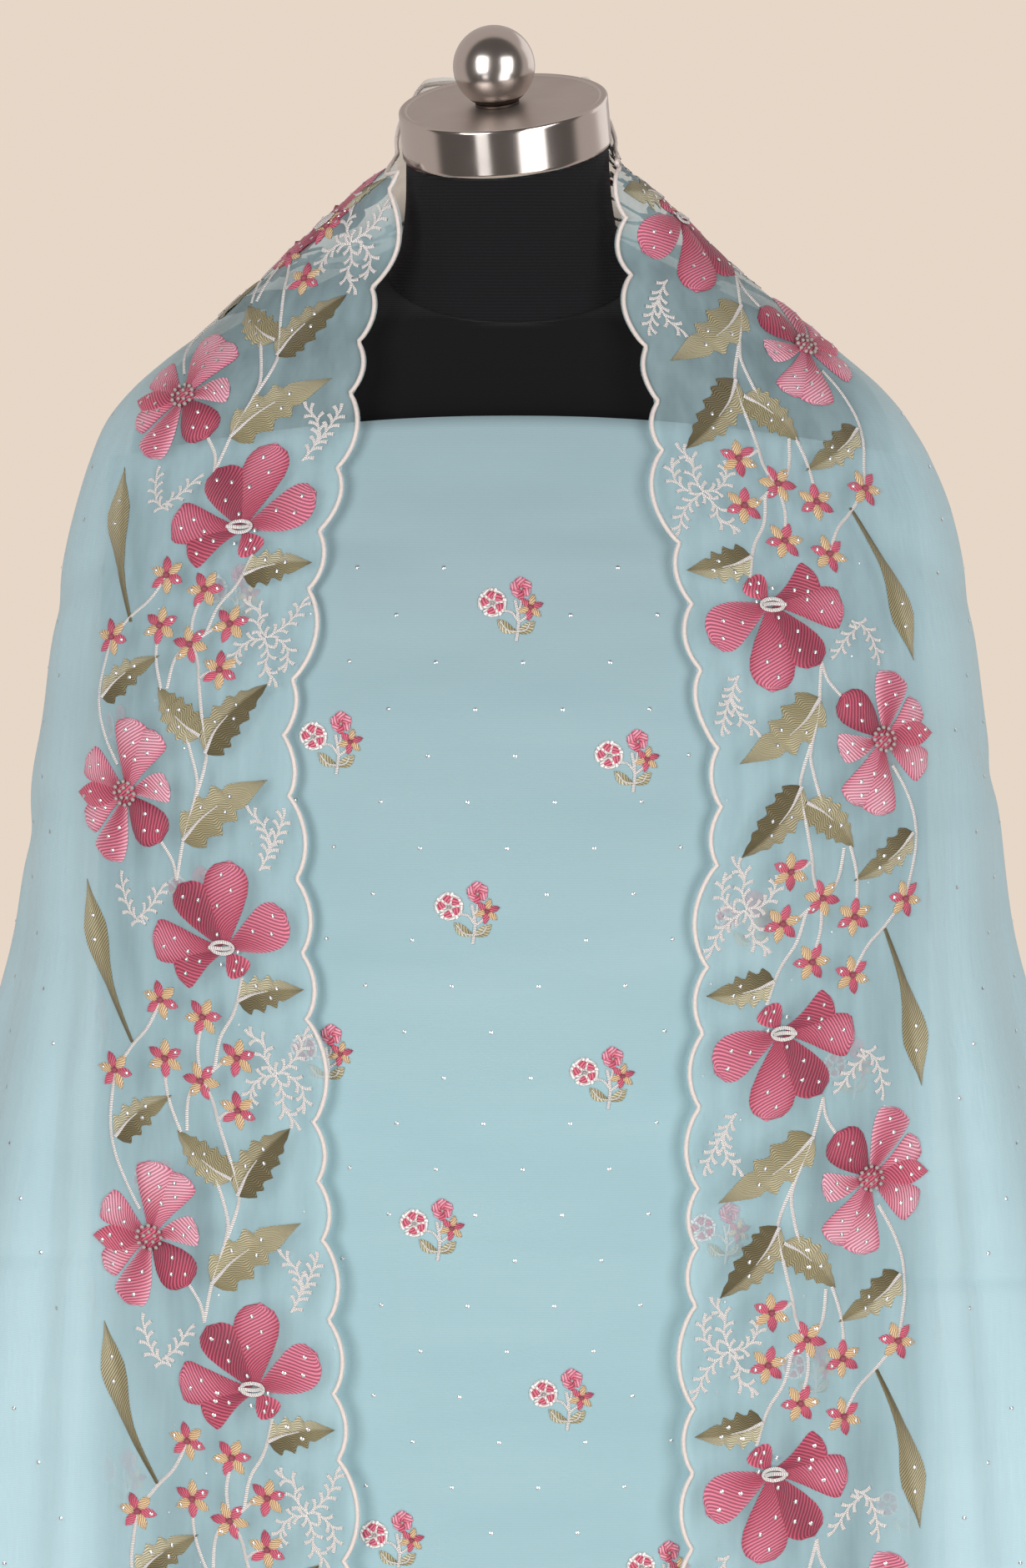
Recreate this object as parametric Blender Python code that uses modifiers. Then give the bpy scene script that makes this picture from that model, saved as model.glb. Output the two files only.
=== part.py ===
"""An unstitched salwar kameez suit shown on a limbless dress form.

The kameez length is wrapped round the chest with a straight upper edge, the salwar length hangs
from the waist under it, and the scalloped dupatta lies round the back of the neck, over both
shoulders and down the front.  The form has a steel neck cap, a ball knob and a round stand.
Metres, +Z up, -Y is the front.  The origin is the middle of the stand's underside, on the floor.
"""

import math

import bmesh
import bpy
from mathutils import Matrix, Vector

# ---------------------------------------------------------------- driving sizes, in metres
CLOTH_WALL = 0.0012
GAP = 0.0003  # between two pieces that meet
TURN = 2 * math.pi

BASE_RADIUS = 0.170
BASE_HEIGHT = 0.014
POLE_RADIUS = 0.014
FLANGE_RADIUS = 0.036
COLLAR_RADIUS = 0.027
COLLAR_HEIGHT = 0.050

CAP_TOP = Vector((-0.0054, -0.0420, 1.5545))
CAP_LEAN = Vector((-0.089, -0.286, 0.954)).normalized()
CAP_RADIUS = 0.0564
CAP_HEIGHT = 0.026
KNOB_RADIUS = 0.0220
KNOB_LIFT = 0.0200
KNOB_STEM = 0.0110
KNOB_SHIFT = Vector((-0.0030, 0, -0.00028))  # from the cap's middle, along its top

# The neck's axis, from its seam up to the cap, with the radius and the lean of each level.
NECK = (
    # x, y, z, radius, lean_y
    (-0.0010, -0.0120, 1.4632, 0.0668, -0.42),
    (-0.0013, -0.0155, 1.4735, 0.0612, -0.40),
    (-0.0018, -0.0205, 1.4880, 0.0575, -0.36),
    (-0.0024, -0.0265, 1.5060, 0.0554, -0.32),
    (-0.0030, -0.0340, 1.5290, 0.0546, -0.286),
)

TORSO_SIDES = 40
SQUARENESS = 2.3  # 2 makes every level an ellipse; a little more fills its corners

# The form's body, level by level.  front and back are depths from the axis; lean is how far a
# level climbs for each metre towards the back.
TORSO = (
    # height, half_width, front, back, lean
    (0.7650, 0.1400, 0.0900, 0.0960, 0.00),
    (0.7760, 0.1530, 0.1000, 0.1060, 0.00),
    (0.8200, 0.1630, 0.1050, 0.1130, 0.00),
    (0.8700, 0.1660, 0.1050, 0.1150, 0.00),
    (0.9100, 0.1600, 0.1030, 0.1110, 0.00),
    (0.9500, 0.1480, 0.1010, 0.1040, 0.00),
    (1.0000, 0.1300, 0.0970, 0.0920, 0.00),
    (1.0500, 0.1210, 0.0940, 0.0860, 0.00),
    (1.1100, 0.1300, 0.1040, 0.0890, 0.00),
    (1.1700, 0.1430, 0.1290, 0.0940, 0.00),
    (1.2150, 0.1520, 0.1374, 0.0970, 0.00),
    (1.2600, 0.1700, 0.1240, 0.0990, 0.00),
    (1.3000, 0.1980, 0.1050, 0.0980, 0.00),
    (1.3400, 0.2125, 0.0940, 0.0950, 0.00),
    (1.3720, 0.2095, 0.0830, 0.0890, 0.00),
    (1.3930, 0.2010, 0.0770, 0.0840, 0.02),
    (1.4110, 0.1860, 0.0720, 0.0790, 0.05),
    (1.4280, 0.1620, 0.0700, 0.0740, 0.10),
    (1.4435, 0.1300, 0.0700, 0.0690, 0.18),
    (1.4575, 0.0960, 0.0730, 0.0632, 0.30),
    (1.46824, 0.0700, 0.0755, 0.0515, 0.42),
)

# The two wrapped lengths.
KAMEEZ = (
    # height, half_width, front, back
    (1.3950, 0.2180, 0.0890, 0.0930),
    (1.3720, 0.2195, 0.0960, 0.0960),
    (1.3400, 0.2225, 0.1060, 0.1010),
    (1.2800, 0.2255, 0.1280, 0.1050),
    (1.2200, 0.2265, 0.1390, 0.1070),
    (1.1000, 0.2290, 0.1405, 0.1120),
    (0.9000, 0.2330, 0.1440, 0.1260),
    (0.7000, 0.2370, 0.1490, 0.1340),
    (0.4000, 0.2430, 0.1560, 0.1420),
)
SALWAR = (
    # height, half_width, front, back
    (1.0400, 0.1242, 0.0960, 0.0886),
    (1.0000, 0.1350, 0.1015, 0.0970),
    (0.9400, 0.1560, 0.1090, 0.1120),
    (0.8700, 0.1740, 0.1130, 0.1220),
    (0.7000, 0.1830, 0.1180, 0.1260),
    (0.4000, 0.1960, 0.1250, 0.1290),
    (0.1000, 0.2050, 0.1300, 0.1330),
)

# The dupatta.  side and middle are where the outline's own centre lies; left_edge and
# right_edge are how far the two inner edges hang from the form's middle line.
DUPATTA = (
    # height, half_width, front, back, side, middle, left_edge, right_edge
    (1.5800, 0.0570, 0.0520, 0.0560, -0.0045, -0.0310, 0.0615, 0.0525),
    (1.5500, 0.0585, 0.0560, 0.0580, -0.0045, -0.0300, 0.0630, 0.0540),
    (1.5250, 0.0600, 0.0580, 0.0630, -0.0040, -0.0280, 0.0637, 0.0558),
    (1.5100, 0.0765, 0.0560, 0.0680, -0.0035, -0.0230, 0.0650, 0.0575),
    (1.4800, 0.1095, 0.0540, 0.0750, -0.0050, -0.0130, 0.0685, 0.0605),
    (1.4540, 0.1390, 0.0710, 0.0870, -0.0040, -0.0050, 0.0748, 0.0630),
    (1.4320, 0.1655, 0.0830, 0.0950, -0.0020, 0.0000, 0.0802, 0.0680),
    (1.4160, 0.1860, 0.0890, 0.1010, -0.0030, 0.0000, 0.0830, 0.0720),
    (1.4000, 0.2045, 0.0945, 0.1060, -0.0030, 0.0000, 0.0855, 0.0755),
    (1.3840, 0.2180, 0.1005, 0.1100, -0.0030, 0.0000, 0.0880, 0.0770),
    (1.3635, 0.2290, 0.1060, 0.1140, -0.0015, 0.0000, 0.0915, 0.0785),
    (1.3300, 0.2410, 0.1170, 0.1190, 0.0000, 0.0000, 0.1010, 0.0850),
    (1.3000, 0.2475, 0.1265, 0.1240, 0.0000, 0.0000, 0.1065, 0.0915),
    (1.2520, 0.2540, 0.1395, 0.1290, 0.0000, 0.0000, 0.1150, 0.0985),
    (1.2200, 0.2575, 0.1435, 0.1320, 0.0000, 0.0000, 0.1195, 0.1060),
    (1.1860, 0.2625, 0.1440, 0.1350, 0.0000, 0.0000, 0.1165, 0.1085),
    (1.1100, 0.2680, 0.1450, 0.1420, 0.0000, 0.0000, 0.1105, 0.1020),
    (1.0200, 0.2880, 0.1470, 0.1490, 0.0000, 0.0000, 0.1045, 0.0975),
    (0.9000, 0.3150, 0.1510, 0.1580, 0.0000, 0.0000, 0.0960, 0.0955),
    (0.7800, 0.3370, 0.1550, 0.1660, 0.0000, 0.0000, 0.0890, 0.0940),
    (0.6200, 0.3520, 0.1600, 0.1740, 0.0000, 0.0000, 0.0860, 0.0930),
    (0.4400, 0.3640, 0.1660, 0.1800, 0.0000, 0.0000, 0.0850, 0.0930),
)

# Soft folds of the dupatta.  place is the share of the way from the middle of the back (0) to
# an inner edge (-1 left, 1 right), width a share of the same, depth how far the fold stands out
# when it is full, top the height where it begins, drift how far it wanders on its way down.
DUPATTA_FOLDS = (
    # place, width, depth, top, drift
    (-0.715, 0.062, 0.0096, 1.26, 0.010),
    (-0.590, 0.062, 0.0216, 1.33, 0.018),
    (-0.465, 0.062, 0.0360, 1.29, 0.010),
    (-0.338, 0.062, 0.0585, 1.40, -0.010),
    (-0.207, 0.062, 0.0490, 1.48, -0.010),
    (-0.072, 0.064, 0.0565, 1.50, 0.006),
    (0.068, 0.064, 0.0510, 1.49, 0.000),
    (0.202, 0.062, 0.0565, 1.50, 0.010),
    (0.332, 0.062, 0.0510, 1.41, 0.014),
    (0.462, 0.062, 0.0390, 1.29, -0.008),
    (0.588, 0.062, 0.0230, 1.34, -0.016),
    (0.712, 0.062, 0.0108, 1.25, -0.008),
)
DUPATTA_GROWTH = 0.60  # the height over which a fold becomes full

# Soft folds of the wrapped lengths.  angle is taken from the front, left side positive.
KAMEEZ_FOLDS = (
    # angle, width, depth, top
    (-2.35, 0.26, 0.0090, 1.15),
    (-1.75, 0.24, 0.0110, 1.20),
    (-1.15, 0.24, 0.0090, 1.20),
    (-0.60, 0.20, 0.0030, 1.05),
    (0.55, 0.20, 0.0030, 1.10),
    (1.12, 0.24, 0.0090, 1.20),
    (1.70, 0.24, 0.0110, 1.15),
    (2.30, 0.26, 0.0080, 1.15),
)
SALWAR_FOLDS = (
    # angle, width, depth, top
    (-2.30, 0.28, 0.0120, 0.80),
    (-1.60, 0.28, 0.0140, 0.85),
    (-0.90, 0.28, 0.0130, 0.85),
    (-0.25, 0.26, 0.0110, 0.80),
    (0.45, 0.28, 0.0120, 0.80),
    (1.15, 0.28, 0.0140, 0.85),
    (1.85, 0.28, 0.0130, 0.85),
    (2.50, 0.26, 0.0110, 0.80),
)
WRAP_GROWTH = 0.50

KAMEEZ_TOP = 1.388  # at the middle of the chest
KAMEEZ_DIP = 0.026  # how far the upper edge falls towards the sides and the back
KAMEEZ_HEM = 0.410
SALWAR_TOP = 1.040
SALWAR_HEM = 0.105
LAP = 0.17  # half of the lap at the back, as an angle
LAP_STEP = CLOTH_WALL + 0.0018

# The scallops of one repeat of the border, as the edge runs up the left front, behind the neck
# and down the right front.
SCALLOPS = (0.0548, 0.0351, 0.0395, 0.0430, 0.0316, 0.0311)
SCALLOP_RISE = 0.17  # of its length
FALL_SCALLOPS = 27  # on each front fall
LEFT_FIRST = 0
RIGHT_FIRST = 1
SCALLOP_STEPS = 4
# Rows of the dupatta's net, by the cusp where each lies: close over the shoulders.
ROWS = (*range(0, 8), *range(9, FALL_SCALLOPS + 1, 2))
SHOULDER_HEIGHT = 1.5245  # where the inner edge turns from the front falls behind the neck
NAPE_HEIGHT = 1.5680
NAPE_SHARE = 0.5  # the share of the way to the middle of the back over which the edge rises
BACK_HEM = 0.700
SIDE_HEM = 0.455
CORNER = 0.42  # the share of the way round where the dupatta's outer corners hang


# ---------------------------------------------------------------- reading the tables
def tangent(rows, index, column):
    """The slope of a column at one row, chosen so that the curve never overshoots."""
    if index in (0, len(rows) - 1):
        return 0.0
    before, here, after = rows[index - 1], rows[index], rows[index + 1]
    below = (here[column] - before[column]) / (here[0] - before[0])
    above = (after[column] - here[column]) / (after[0] - here[0])
    return 2 * below * above / (below + above) if below * above > 0 else 0.0


def read(table, column, height):
    """A column of a table whose first column is the height, on a smooth curve."""
    rows = sorted(table)
    height = min(max(height, rows[0][0]), rows[-1][0])
    index = max(i for i in range(len(rows) - 1) if rows[i][0] <= height)
    low, high = rows[index], rows[index + 1]
    span = high[0] - low[0]
    share = (height - low[0]) / span
    start, end = tangent(rows, index, column) * span, tangent(rows, index + 1, column) * span
    rise = high[column] - low[column]
    curve = (start + end - 2 * rise) * share + 3 * rise - 2 * start - end
    return low[column] + share * (start + share * curve)


def ease(share):
    """0 to 1 with a soft start and end."""
    share = min(max(share, 0.0), 1.0)
    return share * share * (3 - 2 * share)


def ridge(offset, width):
    """A smooth ridge of height 1."""
    return math.cos(min(abs(offset) / width, 1.0) * math.pi / 2) ** 2


def on_outline(angle, half_width, front, back):
    """A point of a level's outline.  Angle 0 is the front, a quarter turn the left side."""
    sine, cosine = math.sin(angle), math.cos(angle)
    power = 2 / SQUARENESS
    depth = front if cosine > 0 else back
    return Vector((
        -half_width * math.copysign(abs(sine) ** power, sine),
        -depth * math.copysign(abs(cosine) ** power, cosine),
    ))


# ---------------------------------------------------------------- making objects
def clear_scene():
    for old in list(bpy.data.objects):
        bpy.data.objects.remove(old)


def suit_collection():
    """The collection that holds every piece."""
    name = "salwar_kameez_suit"
    if name not in bpy.data.collections:
        bpy.context.scene.collection.children.link(bpy.data.collections.new(name))
    return bpy.data.collections[name]


def material(name, colour, roughness, metallic=0.0):
    made = bpy.data.materials.new(name)
    made.use_nodes = True
    shader = made.node_tree.nodes["Principled BSDF"]
    shader.inputs["Base Color"].default_value = (*colour, 1.0)
    shader.inputs["Roughness"].default_value = roughness
    shader.inputs["Metallic"].default_value = metallic
    return made


def add_object(name, work, finish):
    """Turns a bmesh into an object of the suit."""
    mesh = bpy.data.meshes.new(name)
    work.to_mesh(mesh)
    work.free()
    mesh.shade_smooth()
    mesh.set_sharp_from_angle(angle=math.radians(40))
    mesh.materials.append(finish)
    made = bpy.data.objects.new(name, mesh)
    suit_collection().objects.link(made)
    return made


def net(rows):
    """A bmesh net of quads through rows of points."""
    work = bmesh.new()
    corners = [[work.verts.new(point) for point in row] for row in rows]
    for upper, lower in zip(corners, corners[1:]):
        for i in range(len(upper) - 1):
            work.faces.new((upper[i], lower[i], lower[i + 1], upper[i + 1]))
    return work


def add_cloth(name, work, finish):
    """Makes a cloth's sheet face away from the form and gives it its wall."""
    bmesh.ops.recalc_face_normals(work, faces=work.faces[:])
    outward = sum(f.normal.xy.dot(f.calc_center_median().xy) for f in work.faces)
    if outward < 0:
        bmesh.ops.reverse_faces(work, faces=work.faces[:])
    made = add_object(name, work, finish)
    wall = made.modifiers.new("wall", "SOLIDIFY")
    wall.thickness = CLOTH_WALL
    wall.offset = 0.0
    wall.use_even_offset = True
    return made


def loft(name, rings, finish):
    """A closed body through rings of points that all hold the same number."""
    work = bmesh.new()
    corners = [[work.verts.new(point) for point in ring] for ring in rings]
    count = len(corners[0])
    for lower, upper in zip(corners, corners[1:]):
        for i in range(count):
            j = (i + 1) % count
            work.faces.new((lower[i], lower[j], upper[j], upper[i]))
    work.faces.new(corners[0])
    work.faces.new(corners[-1])
    bmesh.ops.recalc_face_normals(work, faces=work.faces[:])
    return add_object(name, work, finish)


def turned(name, profile, steps, finish, foot=Vector((0, 0, 0)), axis=Vector((0, 0, 1))):
    """A body turned on an axis.  profile lists (radius, height) down its outer side, and its
    first and last points lie on the axis."""
    work = bmesh.new()
    points = [work.verts.new((radius, 0, height)) for radius, height in profile]
    for above, below in zip(points, points[1:]):
        work.edges.new((above, below))
    made = add_object(name, work, finish)
    made.location = foot
    made.rotation_mode = "QUATERNION"
    made.rotation_quaternion = Vector((0, 0, 1)).rotation_difference(axis)
    screw = made.modifiers.new("turn", "SCREW")
    screw.steps = screw.render_steps = steps
    screw.use_merge_vertices = True
    screw.merge_threshold = 0.00001
    screw.use_smooth_shade = True
    return made


# ---------------------------------------------------------------- the form and its stand
def make_torso(finish):
    rings = []
    for height, half_width, front, back, lean in TORSO:
        ring = []
        for step in range(TORSO_SIDES):
            across, depth = on_outline(TURN * step / TORSO_SIDES, half_width, front, back)
            ring.append((across, depth, height + lean * depth))
        rings.append(ring)
    return loft("form_torso", rings, finish)


def make_neck(finish):
    rings = []
    for x, y, z, radius, lean_y in NECK:
        middle = Vector((x, y, z + GAP))
        upright = Vector((0, lean_y, 1)).normalized()
        tilt = Vector((0, 0, 1)).rotation_difference(upright).to_matrix()
        ring = []
        for step in range(40):
            angle = TURN * step / 40
            spoke = Vector((math.cos(angle), math.sin(angle), 0)) * radius
            ring.append(middle + tilt @ spoke)
        rings.append(ring)
    top_tilt = Vector((0, 0, 1)).rotation_difference(CAP_LEAN).to_matrix()
    under_cap = CAP_TOP - CAP_LEAN * (CAP_HEIGHT + GAP)
    radius = NECK[-1][3]
    rings[-1] = [
        under_cap + top_tilt @ Vector((math.cos(TURN * i / 40), math.sin(TURN * i / 40), 0)) * radius
        for i in range(40)
    ]
    return loft("form_neck", rings, finish)


def make_cap(finish):
    soft = 0.0012
    profile = [
        (0, CAP_HEIGHT),
        (CAP_RADIUS - soft, CAP_HEIGHT),
        (CAP_RADIUS - soft * 0.3, CAP_HEIGHT - soft * 0.3),
        (CAP_RADIUS, CAP_HEIGHT - soft),
        (CAP_RADIUS, 0.0006),
        (CAP_RADIUS - 0.0006, 0),
        (0, 0),
    ]
    return turned("neck_cap", profile, 48, finish, CAP_TOP - CAP_LEAN * CAP_HEIGHT, CAP_LEAN)


def make_knob(finish):
    arcs = 11
    stem_angle = math.pi - math.asin(KNOB_STEM / KNOB_RADIUS)
    profile = []
    for step in range(arcs + 1):
        angle = stem_angle * step / arcs
        profile.append((KNOB_RADIUS * math.sin(angle), KNOB_LIFT + KNOB_RADIUS * math.cos(angle)))
    profile += [(KNOB_STEM, GAP), (0, GAP)]
    return turned("cap_knob", profile, 24, finish, CAP_TOP + KNOB_SHIFT, CAP_LEAN)


def make_base(finish):
    rim = 0.004
    profile = [
        (0, BASE_HEIGHT),
        (BASE_RADIUS - rim, BASE_HEIGHT),
        (BASE_RADIUS - rim * 0.3, BASE_HEIGHT - rim * 0.3),
        (BASE_RADIUS, BASE_HEIGHT - rim),
        (BASE_RADIUS, 0.001),
        (BASE_RADIUS - 0.001, 0),
        (0, 0),
    ]
    return turned("stand_base", profile, 56, finish)


def make_pole(finish):
    foot = BASE_HEIGHT + GAP
    top = TORSO[0][0] - GAP
    profile = [
        (0, top),
        (COLLAR_RADIUS, top),
        (COLLAR_RADIUS, top - COLLAR_HEIGHT + 0.012),
        (COLLAR_RADIUS - 0.004, top - COLLAR_HEIGHT + 0.004),
        (POLE_RADIUS, top - COLLAR_HEIGHT),
        (POLE_RADIUS, foot + 0.020),
        (POLE_RADIUS + 0.004, foot + 0.012),
        (FLANGE_RADIUS - 0.003, foot + 0.008),
        (FLANGE_RADIUS, foot + 0.005),
        (FLANGE_RADIUS, foot),
        (0, foot),
    ]
    return turned("stand_pole", profile, 28, finish)


# ---------------------------------------------------------------- the wrapped lengths
def wrapped_point(table, folds, angle, height):
    """A point of a wrapped length.  Its outer end, past a half turn, lies over its start."""
    sizes = [read(table, column, height) for column in (1, 2, 3)]
    here = on_outline(angle, *sizes)
    along = on_outline(angle + 0.01, *sizes) - on_outline(angle - 0.01, *sizes)
    out = Vector((along.y, -along.x)).normalized()
    if out.dot(here) < 0:
        out = -out
    push = LAP_STEP * ease((angle - (math.pi - 3 * LAP)) / (1.6 * LAP))
    for place, width, depth, top in folds:
        push += depth * ease((top - height) / WRAP_GROWTH) * ridge(angle - place, width)
    here += out * push
    return here.x, here.y, height


def make_wrapped(name, table, folds, top_of, hem, columns, heights, finish):
    rows = []
    for level in range(heights + 1):
        row = []
        for column in range(columns + 1):
            angle = (math.pi + LAP) * (2 * column / columns - 1)
            top = top_of(angle)
            row.append(wrapped_point(table, folds, angle, top + (hem - top) * level / heights))
        rows.append(row)
    return add_cloth(name, net(rows), finish)


def kameez_top(angle):
    return KAMEEZ_TOP - KAMEEZ_DIP * ease(abs(math.sin(angle / 2)) * 1.35)


def make_kameez(finish):
    return make_wrapped(
        "kameez_cloth", KAMEEZ, KAMEEZ_FOLDS, kameez_top, KAMEEZ_HEM, 54, 11, finish
    )


def make_salwar(finish):
    return make_wrapped(
        "salwar_cloth", SALWAR, SALWAR_FOLDS, lambda angle: SALWAR_TOP, SALWAR_HEM, 46, 8, finish
    )


# ---------------------------------------------------------------- the dupatta
def edge_angle(height, side):
    """The angle at which an inner edge hangs; side is -1 for the left, 1 for the right."""
    reach = read(DUPATTA, 6 if side < 0 else 7, height) + side * -read(DUPATTA, 4, height)
    half_width = read(DUPATTA, 1, height)
    return math.asin(min(reach / half_width, 1.0) ** (SQUARENESS / 2))


def dupatta_plain(angle, height):
    sizes = [read(DUPATTA, column, height) for column in (1, 2, 3)]
    centre = Vector((read(DUPATTA, 4, height), read(DUPATTA, 5, height)))
    return centre + on_outline(angle, *sizes)


RING_CACHE = {}


def half_ring(height, side):
    """Angles and lengths from the middle of the back to an inner edge, at a height."""
    key = (round(height, 5), side)
    if key not in RING_CACHE:
        last = edge_angle(height, side)
        steps = 60
        angles = [math.pi - (math.pi - last) * i / steps for i in range(steps + 1)]
        lengths = [0.0]
        for before, here in zip(angles, angles[1:]):
            apart = dupatta_plain(-side * here, height) - dupatta_plain(-side * before, height)
            lengths.append(lengths[-1] + apart.length)
        RING_CACHE[key] = (angles, lengths)
    return RING_CACHE[key]


def dupatta_point(place, height):
    """A point of the dupatta.  place runs from the left inner edge (-1) to the right (1)."""
    side = -1 if place < 0 else 1
    angles, lengths = half_ring(height, side)
    target = min(abs(place), 1.0) * lengths[-1]
    index = max(i for i in range(len(lengths) - 1) if lengths[i] <= target)
    share = (target - lengths[index]) / (lengths[index + 1] - lengths[index])
    angle = -side * (angles[index] + (angles[index + 1] - angles[index]) * share)
    here = dupatta_plain(angle, height)
    along = dupatta_plain(angle + 0.01, height) - dupatta_plain(angle - 0.01, height)
    out = Vector((along.y, -along.x)).normalized()
    centre = Vector((read(DUPATTA, 4, height), read(DUPATTA, 5, height)))
    if out.dot(here - centre) < 0:
        out = -out
    push = 0.0
    for fold, width, depth, top, drift in DUPATTA_FOLDS:
        grown = ease((top - height) / DUPATTA_GROWTH)
        push += depth * grown * ridge(place - fold - drift * grown, width)
    here += out * push
    return Vector((here.x, here.y, height))


def cusp_heights(side):
    """Walks down an inner edge and notes the height of every cusp between two scallops."""
    heights = [SHOULDER_HEIGHT]
    first, order = (LEFT_FIRST, -1) if side < 0 else (RIGHT_FIRST, 1)
    height, walked, target = SHOULDER_HEIGHT, 0.0, 0.0
    here = dupatta_point(side, height)
    for index in range(FALL_SCALLOPS):
        target += SCALLOPS[(first + order * index) % len(SCALLOPS)]
        while walked < target:
            height -= 0.0005
            ahead = dupatta_point(side, height)
            walked += (ahead - here).length
            here = ahead
        heights.append(height)
    return heights


def upper_edge(place):
    return SHOULDER_HEIGHT + (NAPE_HEIGHT - SHOULDER_HEIGHT) * ease((1 - abs(place)) / NAPE_SHARE)


def hem_height(place, last_left, last_right):
    """The lower edge: level ends at the sides, then the long outer edge rises to the back."""
    front = last_left if place < 0 else last_right
    reach = abs(place)
    if reach > CORNER:
        return SIDE_HEM + (front - SIDE_HEM) * ease((reach - CORNER) / (1 - CORNER))
    return BACK_HEM + (SIDE_HEM - BACK_HEM) * (reach / CORNER) ** 1.6


def scalloped(start, end, inward, side, first):
    """Points of the edge from one row down to the next, bulging inwards at each scallop."""
    lengths = []
    order, begin = (-1, LEFT_FIRST) if side < 0 else (1, RIGHT_FIRST)
    for index in first:
        lengths.append(SCALLOPS[(begin + order * index) % len(SCALLOPS)])
    points, walked = [], 0.0
    for length in lengths:
        for step in range(SCALLOP_STEPS + 1):
            share = step / SCALLOP_STEPS
            round_off = math.sin(math.pi * share) ** 0.7 if 0 < share < 1 else 0.0
            bulge = SCALLOP_RISE * length * round_off
            down = (walked + length * share) / sum(lengths)
            points.append(start.lerp(end, down) + inward * bulge)
        points.pop()
        walked += length
    return points[1:]


def dupatta_places():
    """Columns: wide apart on the flat borders, close together across the folds."""
    half = [0.0]
    while half[-1] < 0.785:
        half.append(half[-1] + 0.0262)
    half += [0.850, 0.925, 1.0]
    return [-place for place in reversed(half[1:])] + half


def make_dupatta(finish):
    left, right = cusp_heights(-1), cusp_heights(1)
    places = dupatta_places()
    rows = []
    for cusp in ROWS:
        down_left = (left[0] - left[cusp]) / (left[0] - left[-1])
        down_right = (right[0] - right[cusp]) / (right[0] - right[-1])
        row = []
        for place in places:
            top = upper_edge(place)
            hem = hem_height(place, left[-1], right[-1])
            down = down_left * (1 - place) / 2 + down_right * (1 + place) / 2
            row.append(dupatta_point(place, top + (hem - top) * down))
        rows.append(row)

    work = bmesh.new()
    corners = [[work.verts.new(point) for point in row] for row in rows]
    last = len(places) - 1
    for level, (upper, lower) in enumerate(zip(corners, corners[1:])):
        between = range(ROWS[level], ROWS[level + 1])
        for i in range(last):
            around = [upper[i], lower[i], lower[i + 1], upper[i + 1]]
            if i == 0:
                inward = (upper[0].co - upper[1].co).normalized()
                edge = scalloped(upper[0].co, lower[0].co, inward, -1, between)
                around[1:1] = [work.verts.new(point) for point in edge]
            if i == last - 1:
                inward = (upper[last].co - upper[last - 1].co).normalized()
                edge = scalloped(upper[last].co, lower[last].co, inward, 1, between)
                around[3:3] = [work.verts.new(point) for point in reversed(edge)]
            work.faces.new(around)
    return add_cloth("dupatta", work, finish)


# ---------------------------------------------------------------- the whole part
clear_scene()
JERSEY = material("form_jersey", (0.006, 0.006, 0.007), 0.85)
STEEL = material("polished_steel", (0.72, 0.70, 0.67), 0.18, 1.0)
AQUA = material("aqua_cotton", (0.36, 0.60, 0.62), 0.80)
ORGANZA = material("aqua_organza", (0.30, 0.55, 0.58), 0.60)

make_torso(JERSEY)
make_neck(JERSEY)
make_cap(STEEL)
make_knob(STEEL)
make_base(STEEL)
make_pole(STEEL)
make_kameez(AQUA)
make_salwar(AQUA)
make_dupatta(ORGANZA)
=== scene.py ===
# %% [markdown]
# # An unstitched salwar kameez suit on a dress form
#
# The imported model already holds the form, its stand and the three lengths of cloth at their
# real size.  This lesson dresses it: it gives the cloth its fine folds and scallops, works the
# embroidery flat, as in a hoop, and then lays it on the cloth, and finishes every surface.

# %% Load the frame
import math

import bmesh
import bpy
import numpy as np
from mathutils import Matrix, Vector


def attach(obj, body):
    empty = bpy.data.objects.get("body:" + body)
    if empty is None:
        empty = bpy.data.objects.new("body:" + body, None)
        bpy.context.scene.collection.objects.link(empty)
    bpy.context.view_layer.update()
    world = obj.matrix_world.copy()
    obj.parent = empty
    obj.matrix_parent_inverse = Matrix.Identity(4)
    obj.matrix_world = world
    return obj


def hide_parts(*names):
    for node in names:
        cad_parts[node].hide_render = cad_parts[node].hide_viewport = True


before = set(bpy.data.objects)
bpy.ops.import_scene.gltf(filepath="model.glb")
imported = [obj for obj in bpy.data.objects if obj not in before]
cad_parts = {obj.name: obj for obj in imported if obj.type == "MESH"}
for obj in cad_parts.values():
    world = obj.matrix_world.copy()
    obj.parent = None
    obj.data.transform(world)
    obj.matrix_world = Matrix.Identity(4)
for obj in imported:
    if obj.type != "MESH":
        bpy.data.objects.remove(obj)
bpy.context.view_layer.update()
nodes = {name: bpy.data.objects[name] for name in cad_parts}
print("nodes:", ", ".join(sorted(nodes)))

# %% [markdown]
# ## Camera
#
# A portrait lens three metres away, a little above the chest and tipped down, as a shop shows
# its clothes.  The camera comes first, so that every test view can be compared.

# %% The camera
AIM = Vector((0.0, 0.0, 1.182))
DISTANCE = 3.0
RISE = math.radians(6)
FRAME_HEIGHT = 0.8648  # metres of the object from the top of the frame to the bottom

lens = bpy.data.cameras.new("portrait")
lens.sensor_width = 36
lens.lens = 36 * DISTANCE / FRAME_HEIGHT
camera = bpy.data.objects.new("portrait", lens)
camera.location = AIM + DISTANCE * Vector((0, -math.cos(RISE), math.sin(RISE)))
camera.rotation_euler = (math.pi / 2 - RISE, 0, 0)
bpy.context.scene.collection.objects.link(camera)
bpy.context.scene.camera = camera
print(f"lens {lens.lens:.1f} mm at {camera.location.z:.2f} m")

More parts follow.
